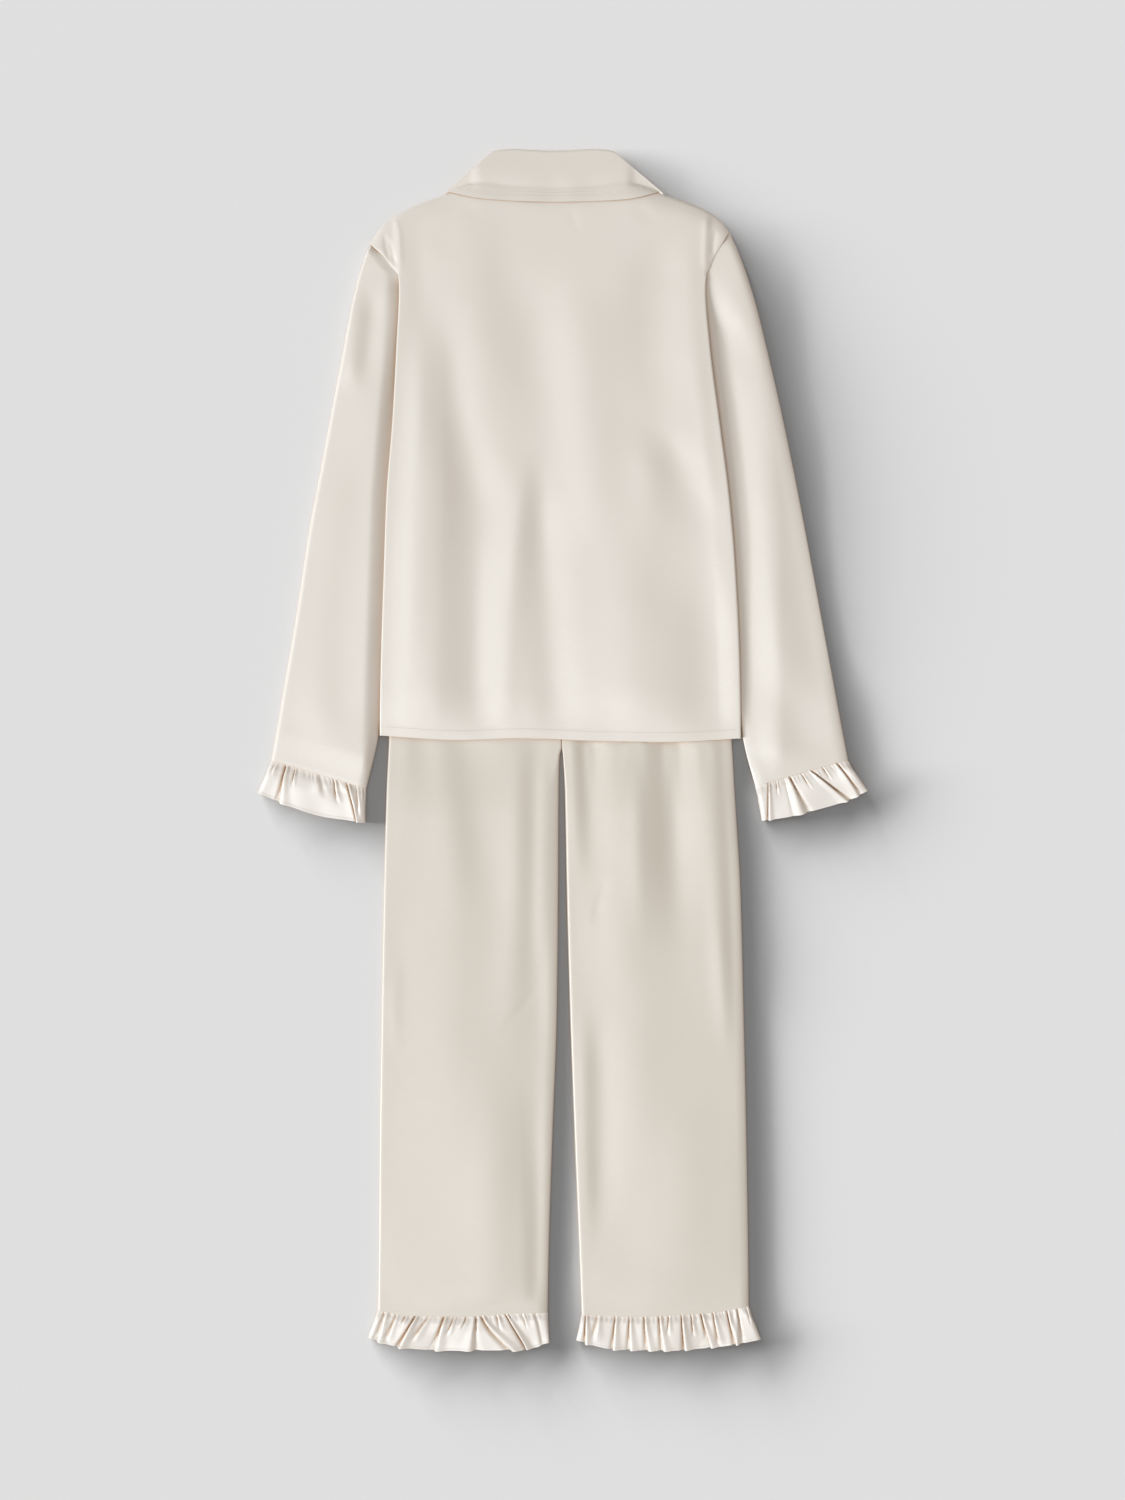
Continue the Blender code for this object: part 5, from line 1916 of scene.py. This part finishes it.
@dataclass(frozen=True)
class Studio:
    """Pale paper floor, soft lights from the upper left, and a camera looking straight down."""

    floor_side: float = 9.0
    frame_height: float = 1.56
    lens: float = 80.0
    sensor: float = 36.0
    sky: str = "#FFFFFF"
    sky_strength: float = 0.31
    lights: tuple = (
        SoftLight("key_softbox", -14.0, 31.0, 24.0, 2.24, "#F7FAFF"),
        SoftLight("sheen_softbox", -48.0, 70.0, 34.0, 0.72),
        SoftLight("warm_bounce", 165.0, 30.0, 80.0, 0.30, "#EBA868"),
    )
    # The floor has its own low lights, flagged off the cloth, for a long soft shadow.
    floor_turns: tuple = (0.0, 7.0, 14.0, 21.0, 28.5, 36.0, 44.0, 53.0, 63.0)
    floor_above: float = 4.6
    floor_width: float = 6.0
    floor_strength: float = 3.68

    def build(self, paper: bpy.types.Material) -> None:
        """Sets up the studio.

        Args:
            paper: the floor's material.
        """
        scene = bpy.context.scene
        half = self.floor_side / 2
        mesh = bpy.data.meshes.new("paper_floor")
        corners = [(-half, -half, 0.0), (half, -half, 0.0), (half, half, 0.0), (-half, half, 0.0)]
        mesh.from_pydata(corners, [], [(0, 1, 2, 3)])
        mesh.materials.append(paper)
        floor = in_scene(mesh)
        garment = bpy.data.collections.new("lit_garment")
        for piece in scene.objects:
            if piece.type == "MESH" and piece is not floor:
                garment.objects.link(piece)
        ground = bpy.data.collections.new("lit_floor")
        ground.objects.link(floor)
        for light in self.lights:
            light.build(garment)
        for index, turn in enumerate(self.floor_turns):
            name = f"floor_strip_{index + 1}"
            SoftLight(name, turn, self.floor_above, self.floor_width, self.floor_strength).build(ground)
        world = bpy.data.worlds.new("studio_walls")
        world.use_nodes = True
        background = world.node_tree.nodes["Background"]
        background.inputs["Color"].default_value = linear(self.sky)
        background.inputs["Strength"].default_value = self.sky_strength
        scene.world = world
        scene.view_settings.view_transform = "Standard"
        camera = bpy.data.cameras.new("camera")
        camera.lens = self.lens
        camera.sensor_width = self.sensor
        obj = bpy.data.objects.new("camera", camera)
        obj.location = (0.0, 0.0, self.frame_height * self.lens / self.sensor)
        scene.collection.objects.link(obj)
        scene.camera = obj


def cuff_seam(start: tuple[float, float], end: tuple[float, float]) -> Callable[[Array], tuple[Array, Array]]:
    """Makes the seam line of a cuff ruffle.

    Args:
        start: its -X end.
        end: its +X end.

    Returns:
        Function from a share across to X and Y.
    """
    return lambda t: (mix(start[0], end[0], t), mix(start[1], end[1], t))


def leg_seam(leg: TrouserLeg) -> Callable[[Array], tuple[Array, Array]]:
    """Makes the seam line of a leg ruffle.

    Args:
        leg: the leg whose hem it is sewn to.

    Returns:
        Function from a share across to X and Y.
    """

    def seam(t: Array) -> tuple[Array, Array]:
        """Finds a place on the hem seam.

        Args:
            t: share across from the -X end.

        Returns:
            X and Y.
        """
        y = leg.hem_y(t)
        first, second = leg.edge_x(y)
        return mix(first, second, t), y - 0.6

    return seam


def main() -> None:
    """Builds the garment piece by piece, then the studio."""
    logging.basicConfig(level=logging.INFO, format="%(message)s")
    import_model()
    satin = PolyesterSatin().build()
    # Same satin with its face painted darker: painted shade on the trousers and waistband.
    trouser_satin_painted_shade = PolyesterSatin("woven_polyester_satin_ivory_trousers", "#DFD8CB", "#DCD5C8").build()
    # Same satin with its face painted lighter: painted sheen on the gathered ruffles.
    ruffle_satin_painted_light = PolyesterSatin("woven_polyester_satin_ivory_gathered", "#F6F2EA", "#F3EEE5").build()
    thread = SewingThread().build()
    outline = ShirtOutline()
    back = ShirtBack(outline)
    back.build(satin, thread)
    for side in Side:
        ShirtFront(outline, side).build(satin)
    Collar(back).build(satin, thread)
    Sleeve(outline, Side.LEFT, SLEEVE_LEFT_ROWS, SLEEVE_LEFT_FOLDS).build(satin)
    Sleeve(
        outline,
        Side.RIGHT,
        SLEEVE_RIGHT_ROWS,
        SLEEVE_RIGHT_FOLDS,
        crown=6.8,
        beside_fold=2.4,
        valley_floor=19.0,
        valley=34.0,
        bank=2.6,
        head_rise=40.0,
        outer_reach=12.0,
    ).build(satin)
    legs = {
        Side.LEFT: TrouserLeg(Side.LEFT, LEG_LEFT_ENDS, LEG_LEFT_FOLDS),
        Side.RIGHT: TrouserLeg(Side.RIGHT, LEG_RIGHT_ENDS, LEG_RIGHT_FOLDS),
    }
    for leg in legs.values():
        leg.build(trouser_satin_painted_shade)
    Waistband().build(trouser_satin_painted_shade)
    ruffles = (
        Ruffle(
            "cuff_ruffle_left",
            cuff_seam((-302.5, -11.8), (-204.4, -40.8)),
            ((-316.5, -44.5), (-290.5, -55.5), (-250.5, -69), (-220, -73.5), (-205, -76)),
            CUFF_LEFT_GATHERS,
            (0.27, 0.037),
            ("shirt_sleeve_left",),
            seed=3,
        ),
        Ruffle(
            "cuff_ruffle_right",
            cuff_seam((200.7, -38.3), (296.5, -10.8)),
            ((207.5, -73.5), (232.5, -70), (268.5, -61), (298, -52), (317, -42.5)),
            CUFF_RIGHT_GATHERS,
            (0.27, 0.037),
            ("shirt_sleeve_right",),
            seed=4,
        ),
        Ruffle(
            "leg_ruffle_left",
            leg_seam(legs[Side.LEFT]),
            ((-202, -611), (-165, -621), (-120, -624), (-45, -623.5), (-14, -616)),
            LEG_LEFT_GATHERS,
            (0.46, 0.037),
            ("trouser_leg_left",),
            seed=5,
        ),
        Ruffle(
            "leg_ruffle_right",
            leg_seam(legs[Side.RIGHT]),
            ((14.5, -613.5), (56, -623), (108, -624), (160, -620.5), (206, -612.5)),
            LEG_RIGHT_GATHERS,
            (0.46, 0.037),
            ("trouser_leg_right",),
            seed=6,
        ),
    )
    for ruffle in ruffles:
        ruffle.build(ruffle_satin_painted_light, thread)
    resin = ShirtButtonResin().build()
    for index in range(5):
        ShirtButton(index, outline.centre).build(resin)
    Studio().build(PaperFloor().build())


if __name__ == "__main__":
    main()
